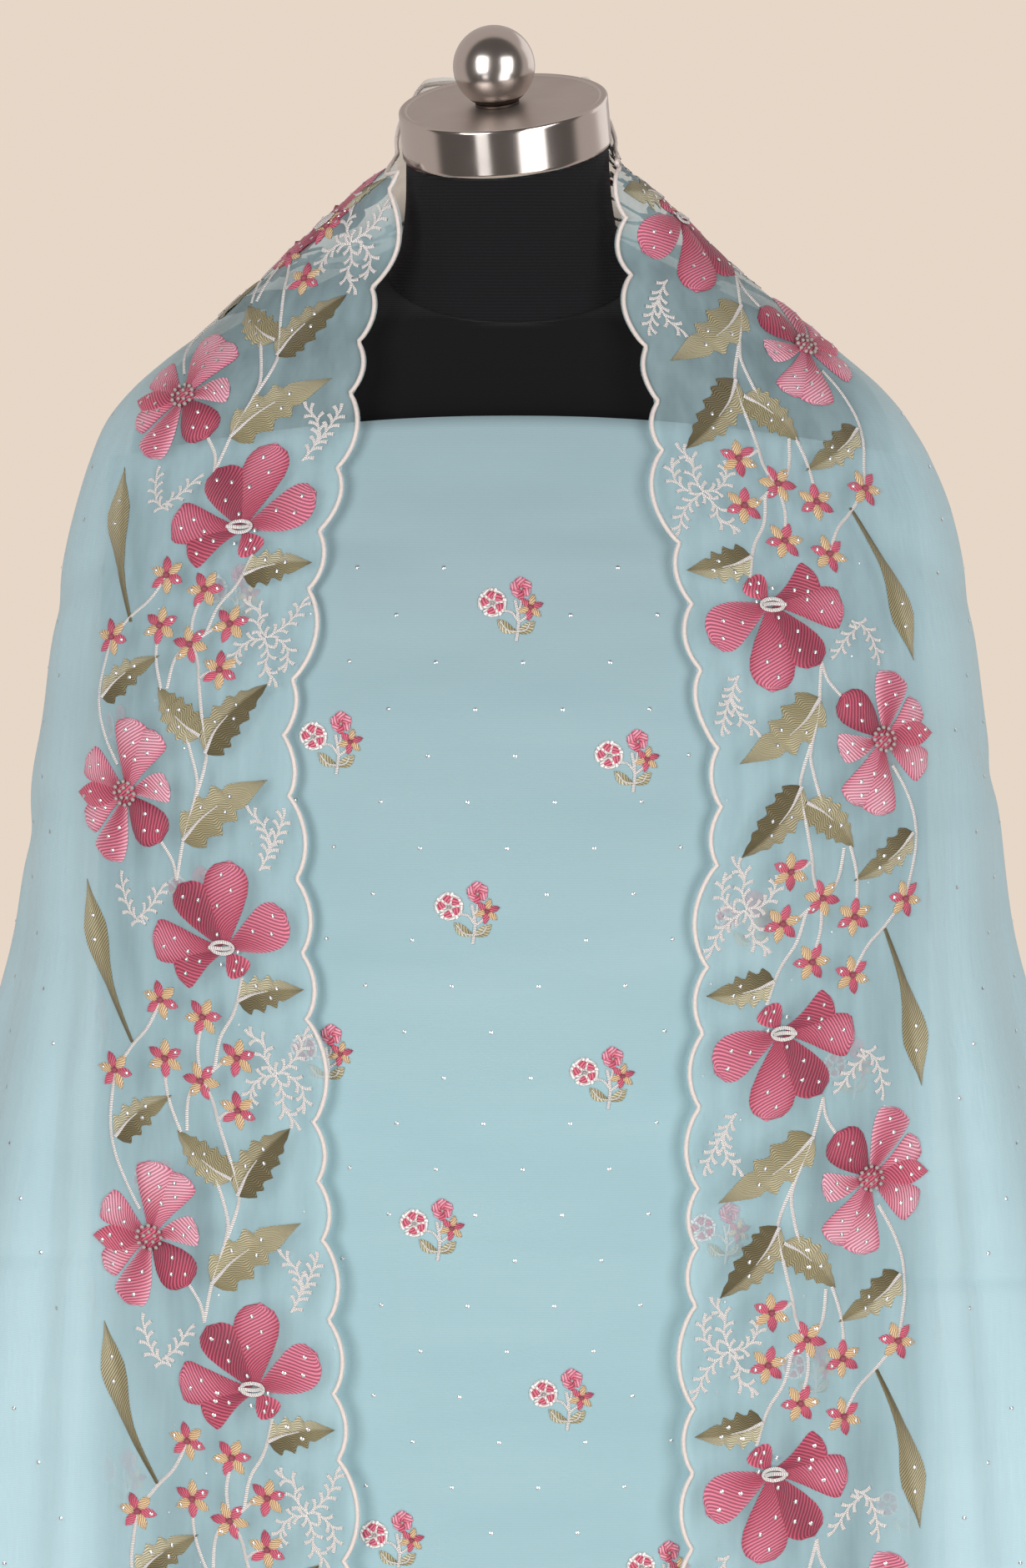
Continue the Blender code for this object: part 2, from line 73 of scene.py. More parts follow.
# %% [markdown]
# ## Light and floor
#
# Two large soft boxes in front, the brighter one on the left, a dim one behind and two cards
# low down, which the steel needs.  Soft light keeps the embroidery's relief readable and leaves
# only a thin shadow beside the dupatta's edge.


# %% Light, floor and sky
def linear(code):
    """An sRGB hex colour as linear red, green, blue and alpha."""
    parts = [int(code[i : i + 2], 16) / 255 for i in (1, 3, 5)]
    flat = [p / 12.92 if p <= 0.04045 else ((p + 0.055) / 1.055) ** 2.4 for p in parts]
    return (*flat, 1.0)


def add_node(tree, kind, settings=None, inputs=None):
    """Adds a node.  An input is a value, or the output socket that feeds it."""
    node = tree.nodes.new(kind)
    for key, value in (settings or {}).items():
        setattr(node, key, value)
    for key, value in (inputs or {}).items():
        if isinstance(value, bpy.types.NodeSocket):
            tree.links.new(value, node.inputs[key])
        else:
            node.inputs[key].default_value = value
    return node


def soft_box(name, place, size, watts):
    lamp = bpy.data.lights.new(name, "AREA")
    lamp.shape = "RECTANGLE"
    lamp.size, lamp.size_y = size
    lamp.energy = watts
    made = bpy.data.objects.new(name, lamp)
    made.location = place
    made.rotation_euler = (AIM - Vector(place)).to_track_quat("-Z", "Y").to_euler()
    bpy.context.scene.collection.objects.link(made)


soft_box("soft_box_left", (-2.15, -3.30, 1.75), (2.0, 2.8), 96)
soft_box("soft_box_right", (2.35, -3.10, 1.70), (2.2, 2.8), 66)
soft_box("soft_box_back", (2.60, 2.40, 2.60), (3.0, 2.6), 12)
soft_box("low_card_right", (1.50, -2.30, 0.05), (1.5, 1.3), 14)
soft_box("low_card_left", (-1.20, -2.40, 0.05), (0.7, 0.6), 2)

# The eye sees a plain beige backdrop.  The steel and the cloth see a grey room with a darker
# side where the studio is open, as in a real studio.
sky = bpy.data.worlds.new("studio")
sky.use_nodes = True
tree = sky.node_tree
backdrop = tree.nodes["Background"]
backdrop.inputs["Color"].default_value = linear("#F2E1D1")
backdrop.inputs["Strength"].default_value = 0.9
facing = add_node(
    tree, "ShaderNodeSeparateXYZ",
    inputs={0: add_node(tree, "ShaderNodeTexCoord").outputs["Generated"]},
)
openness = add_node(
    tree, "ShaderNodeMapRange", {"interpolation_type": "SMOOTHSTEP"},
    {"Value": facing.outputs["Y"], 1: -0.15, 2: 0.05, 3: 0.11, 4: 0.50},
)
room = add_node(
    tree, "ShaderNodeBackground",
    inputs={"Color": linear("#FFF3EC"), "Strength": openness.outputs[0]},
)
seen = add_node(
    tree, "ShaderNodeMixShader",
    inputs={
        0: add_node(tree, "ShaderNodeLightPath").outputs["Is Camera Ray"],
        1: room.outputs[0], 2: backdrop.outputs[0],
    },
)
tree.links.new(seen.outputs[0], tree.nodes["World Output"].inputs["Surface"])
bpy.context.scene.world = sky
bpy.context.scene.view_settings.view_transform = "Standard"

# %% [markdown]
# ## Materials
#
# A finish starts from a Principled BSDF whose sockets are set by name, and reads places in the
# piece's own Object coordinates.  The rest of it is a short list of nodes.


# %% The finish helpers
def new_finish(name, **sockets):
    """A material with its node tree, its shader and the socket of Object coordinates."""
    finish = bpy.data.materials.new(name)
    finish.use_nodes = True
    tree = finish.node_tree
    shader = tree.nodes["Principled BSDF"]
    for key, value in sockets.items():
        shader.inputs[key.replace("_", " ")].default_value = value
    return finish, tree, shader, add_node(tree, "ShaderNodeTexCoord").outputs["Object"]


def dress(piece, finish):
    piece.data.materials.clear()
    piece.data.materials.append(finish)


# %% [markdown]
# The floor is matt painted board.  A little slow noise keeps it from looking like a cut-out.

# %% The floor
board, tree, shader, place = new_finish("matt_board", Roughness=0.9)
cloud = add_node(tree, "ShaderNodeTexNoise", inputs={"Vector": place, "Scale": 0.6, "Detail": 3.0})
tone = add_node(
    tree, "ShaderNodeMix", {"data_type": "RGBA"},
    {"Factor": cloud.outputs["Fac"], 6: linear("#E6D9CC"), 7: linear("#EADFD3")},
)
tree.links.new(tone.outputs[2], shader.inputs["Base Color"])

work = bmesh.new()
bmesh.ops.create_circle(work, cap_ends=True, segments=96, radius=1.5)
floor_mesh = bpy.data.meshes.new("floor")
work.to_mesh(floor_mesh)
work.free()
floor = bpy.data.objects.new("floor", floor_mesh)
bpy.context.scene.collection.objects.link(floor)
dress(floor, board)

# %% [markdown]
# The form is covered in black cotton jersey.  Its ribs are 1.0 mm apart on the body, where they
# hardly show, and 1.7 mm on the neck.  They are bands of bump that follow the height, with
# painted shade between the ribs and a painted highlight on them.

# %% Jersey, plain and ribbed
WAVE_MM = 314.16  # how far apart a Wave texture's bands are at scale 1


def jersey(name, tints, rib_mm, depth):
    finish, tree, shader, place = new_finish(
        name, Roughness=0.88, Sheen_Weight=0.1, Sheen_Roughness=0.5, Specular_IOR_Level=0.25
    )
    ribs = add_node(
        tree, "ShaderNodeTexWave", {"bands_direction": "Z"},
        {"Vector": place, "Scale": WAVE_MM / rib_mm, "Distortion": 0.6, "Detail": 1.0},
    )
    lint = add_node(tree, "ShaderNodeTexNoise", inputs={"Vector": place, "Scale": 900.0})
    mixed = add_node(
        tree, "ShaderNodeMath", {"operation": "ADD"},
        {0: ribs.outputs["Fac"], 1: lint.outputs["Fac"]},
    )
    bump = add_node(
        tree, "ShaderNodeBump",
        inputs={"Height": mixed.outputs[0], "Strength": depth, "Distance": 0.0004},
    )
    tree.links.new(bump.outputs["Normal"], shader.inputs["Normal"])
    # painted shade and painted highlight: the colour is darker between the ribs and lighter on
    # them
    shade = add_node(
        tree, "ShaderNodeMix", {"data_type": "RGBA"},
        {"Factor": ribs.outputs["Fac"], 6: linear(tints[0]), 7: linear(tints[1])},
    )
    tree.links.new(shade.outputs[2], shader.inputs["Base Color"])
    return finish


black_jersey = jersey("black_cotton_jersey", ("#070708", "#0A0A0C"), 1.0, 0.2)
ribbed_jersey = jersey("black_ribbed_jersey", ("#0A0A0C", "#141418"), 1.7, 0.6)

# %% [markdown]
# The cap, the knob and the stand are turned steel.  The roughness varies a little from place to
# place, so the metal looks slightly hazy and soft.


# %% Turned steel
def steel(name, tint, roughness):
    finish, tree, shader, place = new_finish(name, Metallic=1.0, Base_Color=linear(tint))
    haze = add_node(
        tree, "ShaderNodeTexNoise", inputs={"Vector": place, "Scale": 60.0, "Detail": 4.0}
    )
    rough = add_node(
        tree, "ShaderNodeMapRange",
        inputs={"Value": haze.outputs["Fac"], 3: roughness * 0.75, 4: roughness * 1.3},
    )
    tree.links.new(rough.outputs[0], shader.inputs["Roughness"])
    return finish


polished_steel = steel("polished_steel", "#D8CFC9", 0.21)
bright_steel = steel("bright_steel", "#D8CFC9", 0.15)
brushed_steel = steel("brushed_steel", "#D0C6C0", 0.42)
satin_steel = steel("satin_steel", "#C9C6C1", 0.32)
# painted shade: a dark steel for the ball's underside, standing for the shadow and dark reflection
# where it meets the cap
painted_shade_steel = steel("painted_shade_steel", "#5A4E47", 0.5)
for name in ("stand_pole", "stand_base"):
    dress(nodes[name], satin_steel)

# %% [markdown]
# The kameez and salwar lengths are a plain weave of fine cotton silk.  Real threads are about
# 0.3 mm apart, too fine to show, so the weave is drawn about 1 mm apart, very faintly, with a
# faint painted shade between the weft threads and slow clouds of tone for the dye.  Towards the
# top of the chest the kameez is painted a little darker, a painted shade for the dimmer light
# there.


# %% Plain-woven cotton silk
def woven_cloth(name, tints, thread_mm, roughness, sheen):
    finish, tree, shader, place = new_finish(
        name, Roughness=roughness, Sheen_Weight=sheen, Sheen_Roughness=0.45,
        Specular_IOR_Level=0.3,
    )
    weft = add_node(
        tree, "ShaderNodeTexWave", {"bands_direction": "Z"},
        {"Vector": place, "Scale": WAVE_MM / thread_mm, "Distortion": 1.2, "Detail": 2.0},
    )
    slub = add_node(
        tree, "ShaderNodeTexNoise", inputs={"Vector": place, "Scale": 420.0, "Detail": 2.0}
    )
    height = add_node(
        tree, "ShaderNodeMath", {"operation": "MULTIPLY_ADD"},
        {0: weft.outputs["Fac"], 1: 0.5, 2: slub.outputs["Fac"]},
    )
    bump = add_node(
        tree, "ShaderNodeBump",
        inputs={"Height": height.outputs[0], "Strength": 0.16, "Distance": 0.0003},
    )
    tree.links.new(bump.outputs["Normal"], shader.inputs["Normal"])
    weft_way = add_node(tree, "ShaderNodeMapping", inputs={"Vector": place, "Scale": (1, 1, 5)})
    cloud = add_node(
        tree, "ShaderNodeTexNoise",
        inputs={"Vector": weft_way.outputs[0], "Scale": 4.5, "Detail": 5.0},
    )
    dye = add_node(
        tree, "ShaderNodeMix", {"data_type": "RGBA"},
        {"Factor": cloud.outputs["Fac"], 6: linear(tints[0]), 7: linear(tints[1])},
    )
    # painted shade: the colour is up to 7 % darker between the weft threads
    weft_shade = add_node(
        tree, "ShaderNodeMix", {"data_type": "RGBA", "blend_type": "MULTIPLY"},
        {"Factor": 0.07, 6: dye.outputs[2], 7: weft.outputs["Color"]},
    )
    tree.links.new(weft_shade.outputs[2], shader.inputs["Base Color"])
    return finish, tree, shader, place


kameez_silk, tree, shader, place = woven_cloth(
    "aqua_cotton_silk", ("#98BDC5", "#AECFD6"), 0.9, 0.72, 0.2
)
# painted shade: the kameez is darkened towards the top of the chest, from 1.02 m up to 1.32 m
height = add_node(tree, "ShaderNodeSeparateXYZ", inputs={"Vector": place}).outputs["Z"]
shade_by_height = add_node(tree, "ShaderNodeMapRange", inputs={"Value": height, 1: 1.02, 2: 1.32})
painted_top_shade = add_node(
    tree, "ShaderNodeMix", {"data_type": "RGBA", "blend_type": "MULTIPLY"},
    {"Factor": shade_by_height.outputs[0], 6: shader.inputs["Base Color"].links[0].from_socket,
     7: linear("#F7EDED")},
)
tree.links.new(painted_top_shade.outputs[2], shader.inputs["Base Color"])
salwar_silk = woven_cloth("aqua_lining_silk", ("#92B5BD", "#A2C2CA"), 0.9, 0.75, 0.2)[0]

# %% [markdown]
# The dupatta is organza: fine, stiff and semi-sheer.  One ply shows the black form and the
# kameez through it, so its alpha is under a half.  Away from the border it hangs in gathered
# plies, which cover more; an attribute on the mesh says where.  Long faint streaks of bump are
# the small wrinkles that the stiff yarns keep.

# %% Organza
organza, tree, shader, place = woven_cloth(
    "aqua_organza", ("#C1E2EA", "#D1F0F7"), 0.8, 0.6, 0.3
)
plies = add_node(tree, "ShaderNodeAttribute", {"attribute_name": "plies"}).outputs["Fac"]
drawn_out = add_node(tree, "ShaderNodeMapping", inputs={"Vector": place, "Scale": (80, 80, 11)})
streaks = add_node(
    tree, "ShaderNodeTexNoise",
    inputs={"Vector": drawn_out.outputs[0], "Scale": 1.0, "Detail": 3.0},
)
one_ply = add_node(
    tree, "ShaderNodeMapRange",
    inputs={"Value": streaks.outputs["Fac"], 1: 0.3, 2: 0.7, 3: 0.33, 4: 0.47},
)
cover = add_node(
    tree, "ShaderNodeMapRange", inputs={"Value": plies, 3: one_ply.outputs[0], 4: 0.85}
)
tree.links.new(cover.outputs[0], shader.inputs["Alpha"])
deeper = add_node(
    tree, "ShaderNodeMix", {"data_type": "RGBA", "blend_type": "MULTIPLY"},
    {"Factor": plies, 6: shader.inputs["Base Color"].links[0].from_socket, 7: linear("#FAFDFF")},
)
tree.links.new(deeper.outputs[2], shader.inputs["Base Color"])
bump = add_node(
    tree, "ShaderNodeBump",
    inputs={
        "Height": streaks.outputs["Fac"], "Strength": 0.6, "Distance": 0.0015,
        "Normal": shader.inputs["Normal"].links[0].from_socket,
    },
)
tree.links.new(bump.outputs["Normal"], shader.inputs["Normal"])

# %% [markdown]
# Embroidery is rayon thread, laid in satin stitch: each petal is a row of parallel stitches
# that catch the light.  The thread's colour is painted on the mesh, and the stitches are bands
# across the piece's own stitch coordinates, with painted shade between them and a painted
# highlight on them.

# %% Thread and stones
thread, tree, shader, _ = new_finish(
    "rayon_thread", Roughness=0.5, Sheen_Weight=0.15, Specular_IOR_Level=0.45
)
tint = add_node(tree, "ShaderNodeAttribute", {"attribute_name": "thread"}).outputs["Color"]
along = add_node(tree, "ShaderNodeAttribute", {"attribute_name": "stitch"}).outputs["Vector"]
stitches = add_node(
    tree, "ShaderNodeTexWave", {"bands_direction": "DIAGONAL"},
    {"Vector": along, "Scale": WAVE_MM / 1.3, "Distortion": 0.8, "Detail": 1.0},
)
# painted shade between the stitches and painted highlight on them: the thread colour is multiplied
# by 0.5 to 1.6 across each stitch
stitch_shade_and_highlight = add_node(
    tree, "ShaderNodeMapRange", inputs={"Value": stitches.outputs["Fac"], 3: 0.5, 4: 1.6}
)
painted_stitch_light = add_node(
    tree, "ShaderNodeMix",
    {"data_type": "RGBA", "blend_type": "MULTIPLY", "clamp_result": True},
    {"Factor": 1.0, 6: tint, 7: stitch_shade_and_highlight.outputs[0]},
)
tree.links.new(painted_stitch_light.outputs[2], shader.inputs["Base Color"])
bump = add_node(
    tree, "ShaderNodeBump",
    inputs={"Height": stitches.outputs["Fac"], "Strength": 0.7, "Distance": 0.0005},
)
tree.links.new(bump.outputs["Normal"], shader.inputs["Normal"])

ivory_thread, tree, shader, place = new_finish("ivory_buttonhole_thread", Roughness=0.55)
knots = add_node(tree, "ShaderNodeTexNoise", inputs={"Vector": place, "Scale": 700.0})
shade = add_node(
    tree, "ShaderNodeMix", {"data_type": "RGBA"},
    {"Factor": knots.outputs["Fac"], 6: linear("#DACCC4"), 7: linear("#F3E9E4")},
)
tree.links.new(shade.outputs[2], shader.inputs["Base Color"])

crystal, tree, shader, place = new_finish("foiled_crystal", Metallic=0.8, Roughness=0.2)
spark = add_node(tree, "ShaderNodeTexNoise", inputs={"Vector": place, "Scale": 320.0})
shade = add_node(
    tree, "ShaderNodeMix", {"data_type": "RGBA"},
    {"Factor": spark.outputs["Fac"], 6: linear("#D5DBDF"), 7: linear("#FFFFFF")},
)
tree.links.new(shade.outputs[2], shader.inputs["Base Color"])
print("finishes:", len(bpy.data.materials))

# %% [markdown]
# ## The sizes of the cloth and the form
#
# The solids were made from short tables: a row for each height, read on a smooth curve.  The
# same tables are repeated here, so that the finer cloth lies on the same form.  The first five
# are in millimetres, with the lean as the rise in a metre; everything after them is in metres.

# %% Tables of the form and the cloth
SQUARENESS = 2.3
# height, half_width, front, back, lean
TORSO = (
    (765, 140, 90, 96, 0), (776, 153, 100, 106, 0), (820, 163, 105, 113, 0),
    (870, 166, 105, 115, 0), (910, 160, 103, 111, 0), (950, 148, 101, 104, 0),
    (1000, 130, 97, 92, 0), (1050, 121, 94, 86, 0), (1110, 130, 104, 89, 0),
    (1170, 143, 129, 94, 0), (1215, 152, 137.4, 97, 0), (1260, 170, 124, 99, 0),
    (1300, 198, 105, 98, 0), (1340, 212.5, 94, 95, 0), (1372, 209.5, 83, 89, 0),
    (1393, 201, 77, 84, 20), (1411, 186, 72, 79, 50), (1428, 162, 70, 74, 100),
    (1443.5, 130, 70, 69, 180), (1457.5, 96, 73, 63.2, 300), (1468.24, 70, 75.5, 51.5, 420),
)
# height, x, y, radius, lean
NECK = (
    (1463.2, -1, -12, 66.8, -420), (1473.5, -1.3, -15.5, 61.2, -400),
    (1488, -1.8, -20.5, 57.5, -360), (1506, -2.4, -26.5, 55.4, -320), (1529, -3, -34, 54.6, -286),
)
# height, half_width, front, back
KAMEEZ = (
    (1395, 218, 89, 93), (1372, 219.5, 96, 96), (1340, 222.5, 106, 101),
    (1280, 225.5, 128, 105), (1220, 226.5, 139, 107), (1100, 229, 140.5, 112),
    (900, 233, 144, 126), (700, 237, 149, 134), (400, 243, 156, 142),
)
SALWAR = (
    (1040, 124.2, 96, 88.6), (1000, 135, 101.5, 97), (940, 156, 109, 112), (870, 174, 113, 122),
    (700, 183, 118, 126), (400, 196, 125, 129), (100, 205, 130, 133),
)
# height, half_width, front, back, centre_x, centre_y, left_edge, right_edge
DUPATTA = (
    (1580, 57, 52, 56, -4.5, -31, 61.5, 52.5), (1550, 58.5, 56, 58, -4.5, -30, 63, 54),
    (1525, 60, 58, 63, -4, -28, 63.7, 55.8), (1510, 76.5, 56, 68, -3.5, -23, 65, 57.5),
    (1480, 109.5, 54, 75, -5, -13, 68.5, 60.5), (1454, 139, 71, 87, -4, -5, 74.8, 63),
    (1432, 165.5, 83, 95, -2, 0, 80.2, 68), (1416, 186, 89, 101, -3, 0, 83, 72),
    (1400, 204.5, 94.5, 106, -3, 0, 85.5, 75.5), (1384, 218, 100.5, 110, -3, 0, 88, 77),
    (1363.5, 229, 106, 114, -1.5, 0, 91.5, 78.5), (1330, 241, 117, 119, 0, 0, 101, 85),
    (1300, 247.5, 126.5, 124, 0, 0, 106.5, 91.5), (1252, 254, 139.5, 129, 0, 0, 115, 98.5),
    (1220, 257.5, 143.5, 132, 0, 0, 119.5, 106), (1186, 262.5, 144, 135, 0, 0, 116.5, 108.5),
    (1110, 268, 145, 142, 0, 0, 110.5, 102), (1020, 288, 147, 149, 0, 0, 104.5, 97.5),
    (900, 315, 151, 158, 0, 0, 96, 95.5), (780, 337, 155, 166, 0, 0, 89, 94),
    (620, 352, 160, 174, 0, 0, 86, 93), (440, 364, 166, 180, 0, 0, 85, 93),
)
# place, width, depth, top, drift
DUPATTA_FOLDS = (
    (-0.715, 0.062, 0.0096, 1.26, 0.01), (-0.59, 0.062, 0.0216, 1.33, 0.018),
    (-0.465, 0.062, 0.036, 1.29, 0.01), (-0.338, 0.062, 0.0585, 1.4, -0.01),
    (-0.207, 0.062, 0.049, 1.48, -0.01), (-0.072, 0.064, 0.0565, 1.5, 0.006),
    (0.068, 0.064, 0.051, 1.49, 0), (0.202, 0.062, 0.0565, 1.5, 0.01),
    (0.332, 0.062, 0.051, 1.41, 0.014), (0.462, 0.062, 0.039, 1.29, -0.008),
    (0.588, 0.062, 0.023, 1.34, -0.016), (0.712, 0.062, 0.0108, 1.25, -0.008),
)
# angle, width, depth, top
KAMEEZ_FOLDS = (
    (-2.35, 0.26, 0.009, 1.15), (-1.75, 0.24, 0.011, 1.2),
    (-1.15, 0.24, 0.009, 1.2), (-0.6, 0.2, 0.003, 1.05),
    (0.55, 0.2, 0.003, 1.1), (1.12, 0.24, 0.009, 1.2),
    (1.7, 0.24, 0.011, 1.15), (2.3, 0.26, 0.008, 1.15),
)
SALWAR_FOLDS = (
    (-2.3, 0.28, 0.012, 0.8), (-1.6, 0.28, 0.014, 0.85),
    (-0.9, 0.28, 0.013, 0.85), (-0.25, 0.26, 0.011, 0.8),
    (0.45, 0.28, 0.012, 0.8), (1.15, 0.28, 0.014, 0.85),
    (1.85, 0.28, 0.013, 0.85), (2.5, 0.26, 0.011, 0.8),
)
DUPATTA_GROWTH, WRAP_GROWTH = 0.60, 0.50
LAP, LAP_STEP = 0.17, 0.0030  # radians past the back, and how far the upper end stands off
CLOTH_WALL = 0.0008
KAMEEZ_TOP, KAMEEZ_DIP, KAMEEZ_HEM = 1.388, 0.026, 0.410
SALWAR_TOP, SALWAR_HEM = 1.040, 0.105
SHOULDER_HEIGHT, NAPE_HEIGHT, NAPE_SHARE = 1.5245, 1.5680, 0.5
BACK_HEM, SIDE_HEM, CORNER = 0.700, 0.455, 0.42

# The border repeats every 235 mm with six scallops, here in the order in which the edge runs
# up the left front, behind the neck and down the right front.
SCALLOPS = np.array((0.0548, 0.0351, 0.0395, 0.0430, 0.0316, 0.0311))
REPEAT = float(SCALLOPS.sum())
SCALLOP_RISE = 0.17
FALL = 27  # scallops on each front


# %% Reading the tables
def column(table, index, heights):
    """A column of a table in millimetres, read in metres on a curve that never overshoots."""
    rows = np.array(sorted(table)) / 1000
    x, y = rows[:, 0], rows[:, index]
    heights = np.clip(heights, x[0], x[-1])
    chord = np.diff(y) / np.diff(x)
    product, total = chord[:-1] * chord[1:], chord[:-1] + chord[1:]
    slope = np.zeros(len(x))
    slope[1:-1] = np.where(product > 0, 2 * product / np.where(product > 0, total, 1), 0)
    k = np.clip(np.searchsorted(x, heights, side="right") - 1, 0, len(x) - 2)
    span = x[k + 1] - x[k]
    t = (heights - x[k]) / span
    start, end, rise = slope[k] * span, slope[k + 1] * span, y[k + 1] - y[k]
    return y[k] + t * (start + t * ((start + end - 2 * rise) * t + 3 * rise - 2 * start - end))


def ease(share):
    share = np.clip(share, 0.0, 1.0)
    return share * share * (3 - 2 * share)


def ridge(offset, width):
    return np.cos(np.minimum(np.abs(offset) / width, 1.0) * np.pi / 2) ** 2


def outline(angle, half_width, front, back):
    """Points of a level's outline: x and y.  Angle 0 is the front, a quarter turn the left."""
    sine, cosine = np.sin(angle), np.cos(angle)
    power = 2 / SQUARENESS
    depth = np.where(cosine > 0, front, back)
    return np.stack(
        (
            -half_width * np.sign(sine) * np.abs(sine) ** power,
            -depth * np.sign(cosine) * np.abs(cosine) ** power,
        ),
        axis=-1,
    )


def unit(vectors):
    return vectors / np.maximum(np.linalg.norm(vectors, axis=-1, keepdims=True), 1e-12)


def square_out(sizes, angle):
    """The direction that points out, square to the outline."""
    along = outline(angle + 0.01, *sizes) - outline(angle - 0.01, *sizes)
    out = unit(np.stack((along[..., 1], -along[..., 0]), axis=-1))
    here = outline(angle, *sizes)
    return out * np.sign((out * here).sum(axis=-1, keepdims=True))


def normal_of(by_one, by_two, here, middle=0.0):
    """A surface's normals from two directions along it, turned to look away from the form."""
    normal = unit(np.cross(by_one, by_two))
    out = (here - (0, middle, 0)) * (1, 1, 0)
    return normal * np.sign((normal * out).sum(axis=-1, keepdims=True))


def walked_to(lines):
    """The distance walked along lines of points to each of them."""
    steps = np.linalg.norm(np.diff(lines, axis=-2), axis=-1)
    return np.concatenate((np.zeros_like(steps[..., :1]), np.cumsum(steps, axis=-1)), axis=-1)


def add_folds(push, across, z, folds, growth):
    """Folds that grow on their way down: where, width, depth, top and how far they drift."""
    for place, width, depth, top, *drift in folds:
        grown = ease((top - z) / growth)
        push += depth * grown * ridge(across - place - sum(drift) * grown, width)


def add_creases(push, across, z, creases):
    """Soft troughs: where, height, width, how tall, depth and slope."""
    for place, height, width, tall, depth, slope in creases:
        off = z - height - slope * (across - place)
        push += depth * ridge(across - place, width) * np.exp(-((off / tall) ** 2))


# %% [markdown]
# ## Moving a flat piece into place
#
# Every cloth starts as a flat grid and every motif as a flat piece of embroidery.  A small
# function then moves its points, all at once, to where the cloth hangs.


# %% Objects and points
def new_piece(name, work, finish, smooth=180):
    """Turns a bmesh into an object with one finish, smooth up to an angle in degrees."""
    mesh = bpy.data.meshes.new(name)
    work.to_mesh(mesh)
    work.free()
    mesh.shade_smooth()
    if smooth < 180:
        mesh.set_sharp_from_angle(angle=math.radians(smooth))
    piece = bpy.data.objects.new(name, mesh)
    bpy.context.scene.collection.objects.link(piece)
    dress(piece, finish)
    return piece


def in_frame(piece, node, stands_for=True):
    """Ties a piece to the frame's root; if it stands for a node's plain solid, that solid is
    hidden.
    """
    if stands_for:
        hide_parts(node)
    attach(piece, "root")
    print(piece.name, len(piece.data.polygons), "faces")


def points_of(piece, name="position"):
    data = piece.data.attributes[name].data
    flat = np.empty(len(data) * 3, np.float32)
    data.foreach_get("vector", flat)
    return flat.reshape(-1, 3).astype(np.float64)


def move_points(piece, points):
    piece.data.vertices.foreach_set("co", points.astype(np.float32).ravel())
    piece.data.update()


def flat_grid(name, columns, rows, finish):
    """A grid that covers -1 to 1 both ways."""
    work = bmesh.new()
    bmesh.ops.create_grid(work, x_segments=columns, y_segments=rows, size=1.0)
    reach = max(v.co.x for v in work.verts)
    bmesh.ops.scale(work, vec=(1 / reach, 1 / reach, 1), verts=work.verts)
    return new_piece(name, work, finish)


def face_away(piece):
    """Turns a cloth's faces so that they look away from the form."""
    work = bmesh.new()
    work.from_mesh(piece.data)
    outward = sum(f.normal.xy.dot(f.calc_center_median().xy) for f in work.faces)
    if outward < 0:
        bmesh.ops.reverse_faces(work, faces=work.faces[:])
    work.to_mesh(piece.data)
    work.free()
    piece.data.shade_smooth()


def between(net, across, down):
    """Reads a net of points at fractional places, on straight lines between its points."""
    i = np.clip(np.floor(across).astype(int), 0, net.shape[0] - 2)
    j = np.clip(np.floor(down).astype(int), 0, net.shape[1] - 2)
    s, t = (across - i)[..., None], (down - j)[..., None]
    upper = net[i, j] * (1 - t) + net[i, j + 1] * t
    lower = net[i + 1, j] * (1 - t) + net[i + 1, j + 1] * t
    return upper * (1 - s) + lower * s


# %% [markdown]
# ## The form
#
# A display form is a laminated shell covered in jersey, with no limbs.  It is built from rings
# of points, one above the other, joined with bridge_loops, because each level is a different
# rounded outline.


# %% The form's body and neck
def lofted(name, rings, finish):
    work = bmesh.new()
    loops = []
    for ring in rings:
        loops.append(bmesh.ops.create_circle(work, segments=len(ring), radius=1.0)["verts"])
        for vertex, point in zip(loops[-1], ring):
            vertex.co = point
    members = [set(loop) for loop in loops]
    for lower, upper in zip(members, members[1:]):
        edges = [e for e in work.edges if lower.issuperset(e.verts) or upper.issuperset(e.verts)]
        bmesh.ops.bridge_loops(work, edges=edges)
    for loop in (loops[0], loops[-1]):
        bmesh.ops.contextual_create(work, geom=loop)
    bmesh.ops.recalc_face_normals(work, faces=work.faces[:])
    return new_piece(name, work, finish, smooth=50)


UNDERSIZE = 0.001  # keeps the body clear of the cloth
turns = np.linspace(0, 2 * np.pi, 96, endpoint=False)
rings = []
for height in np.concatenate((np.linspace(0.765, 1.36, 40), np.linspace(1.375, 1.468, 14))):
    sizes = [float(column(TORSO, i, height)) - UNDERSIZE for i in (1, 2, 3)]
    lean = float(column(TORSO, 4, height))
    flat = outline(turns, *sizes)
    rings.append([(x, y, height + lean * y) for x, y in flat])
form_body = lofted("form_body", rings, black_jersey)
in_frame(form_body, "form_torso")

CAP_TOP = Vector((-0.0054, -0.0420, 1.5545))
CAP_LEAN = Vector((-0.089, -0.286, 0.954)).normalized()
CAP_RADIUS, CAP_HEIGHT = 0.0564, 0.026
rings = []
for height in np.linspace(1.4634, 1.5285, 16):
    x, y, radius, lean = (float(column(NECK, i, height)) for i in (1, 2, 3, 4))
    upright = Vector((0, lean, 1)).normalized()
    if height > 1.528:  # the last ring lies flat under the cap
        upright = CAP_LEAN
    tilt = Vector((0, 0, 1)).rotation_difference(upright).to_matrix()
    spokes = [Vector((math.cos(a), math.sin(a), 0)) * radius for a in turns]
    rings.append([Vector((x, y, height)) + tilt @ spoke for spoke in spokes])
in_frame(lofted("form_neck_cover", rings, ribbed_jersey), "form_neck")

# %% [markdown]
# The cap and its knob are turned on a lathe, so each is half a profile spun once round.

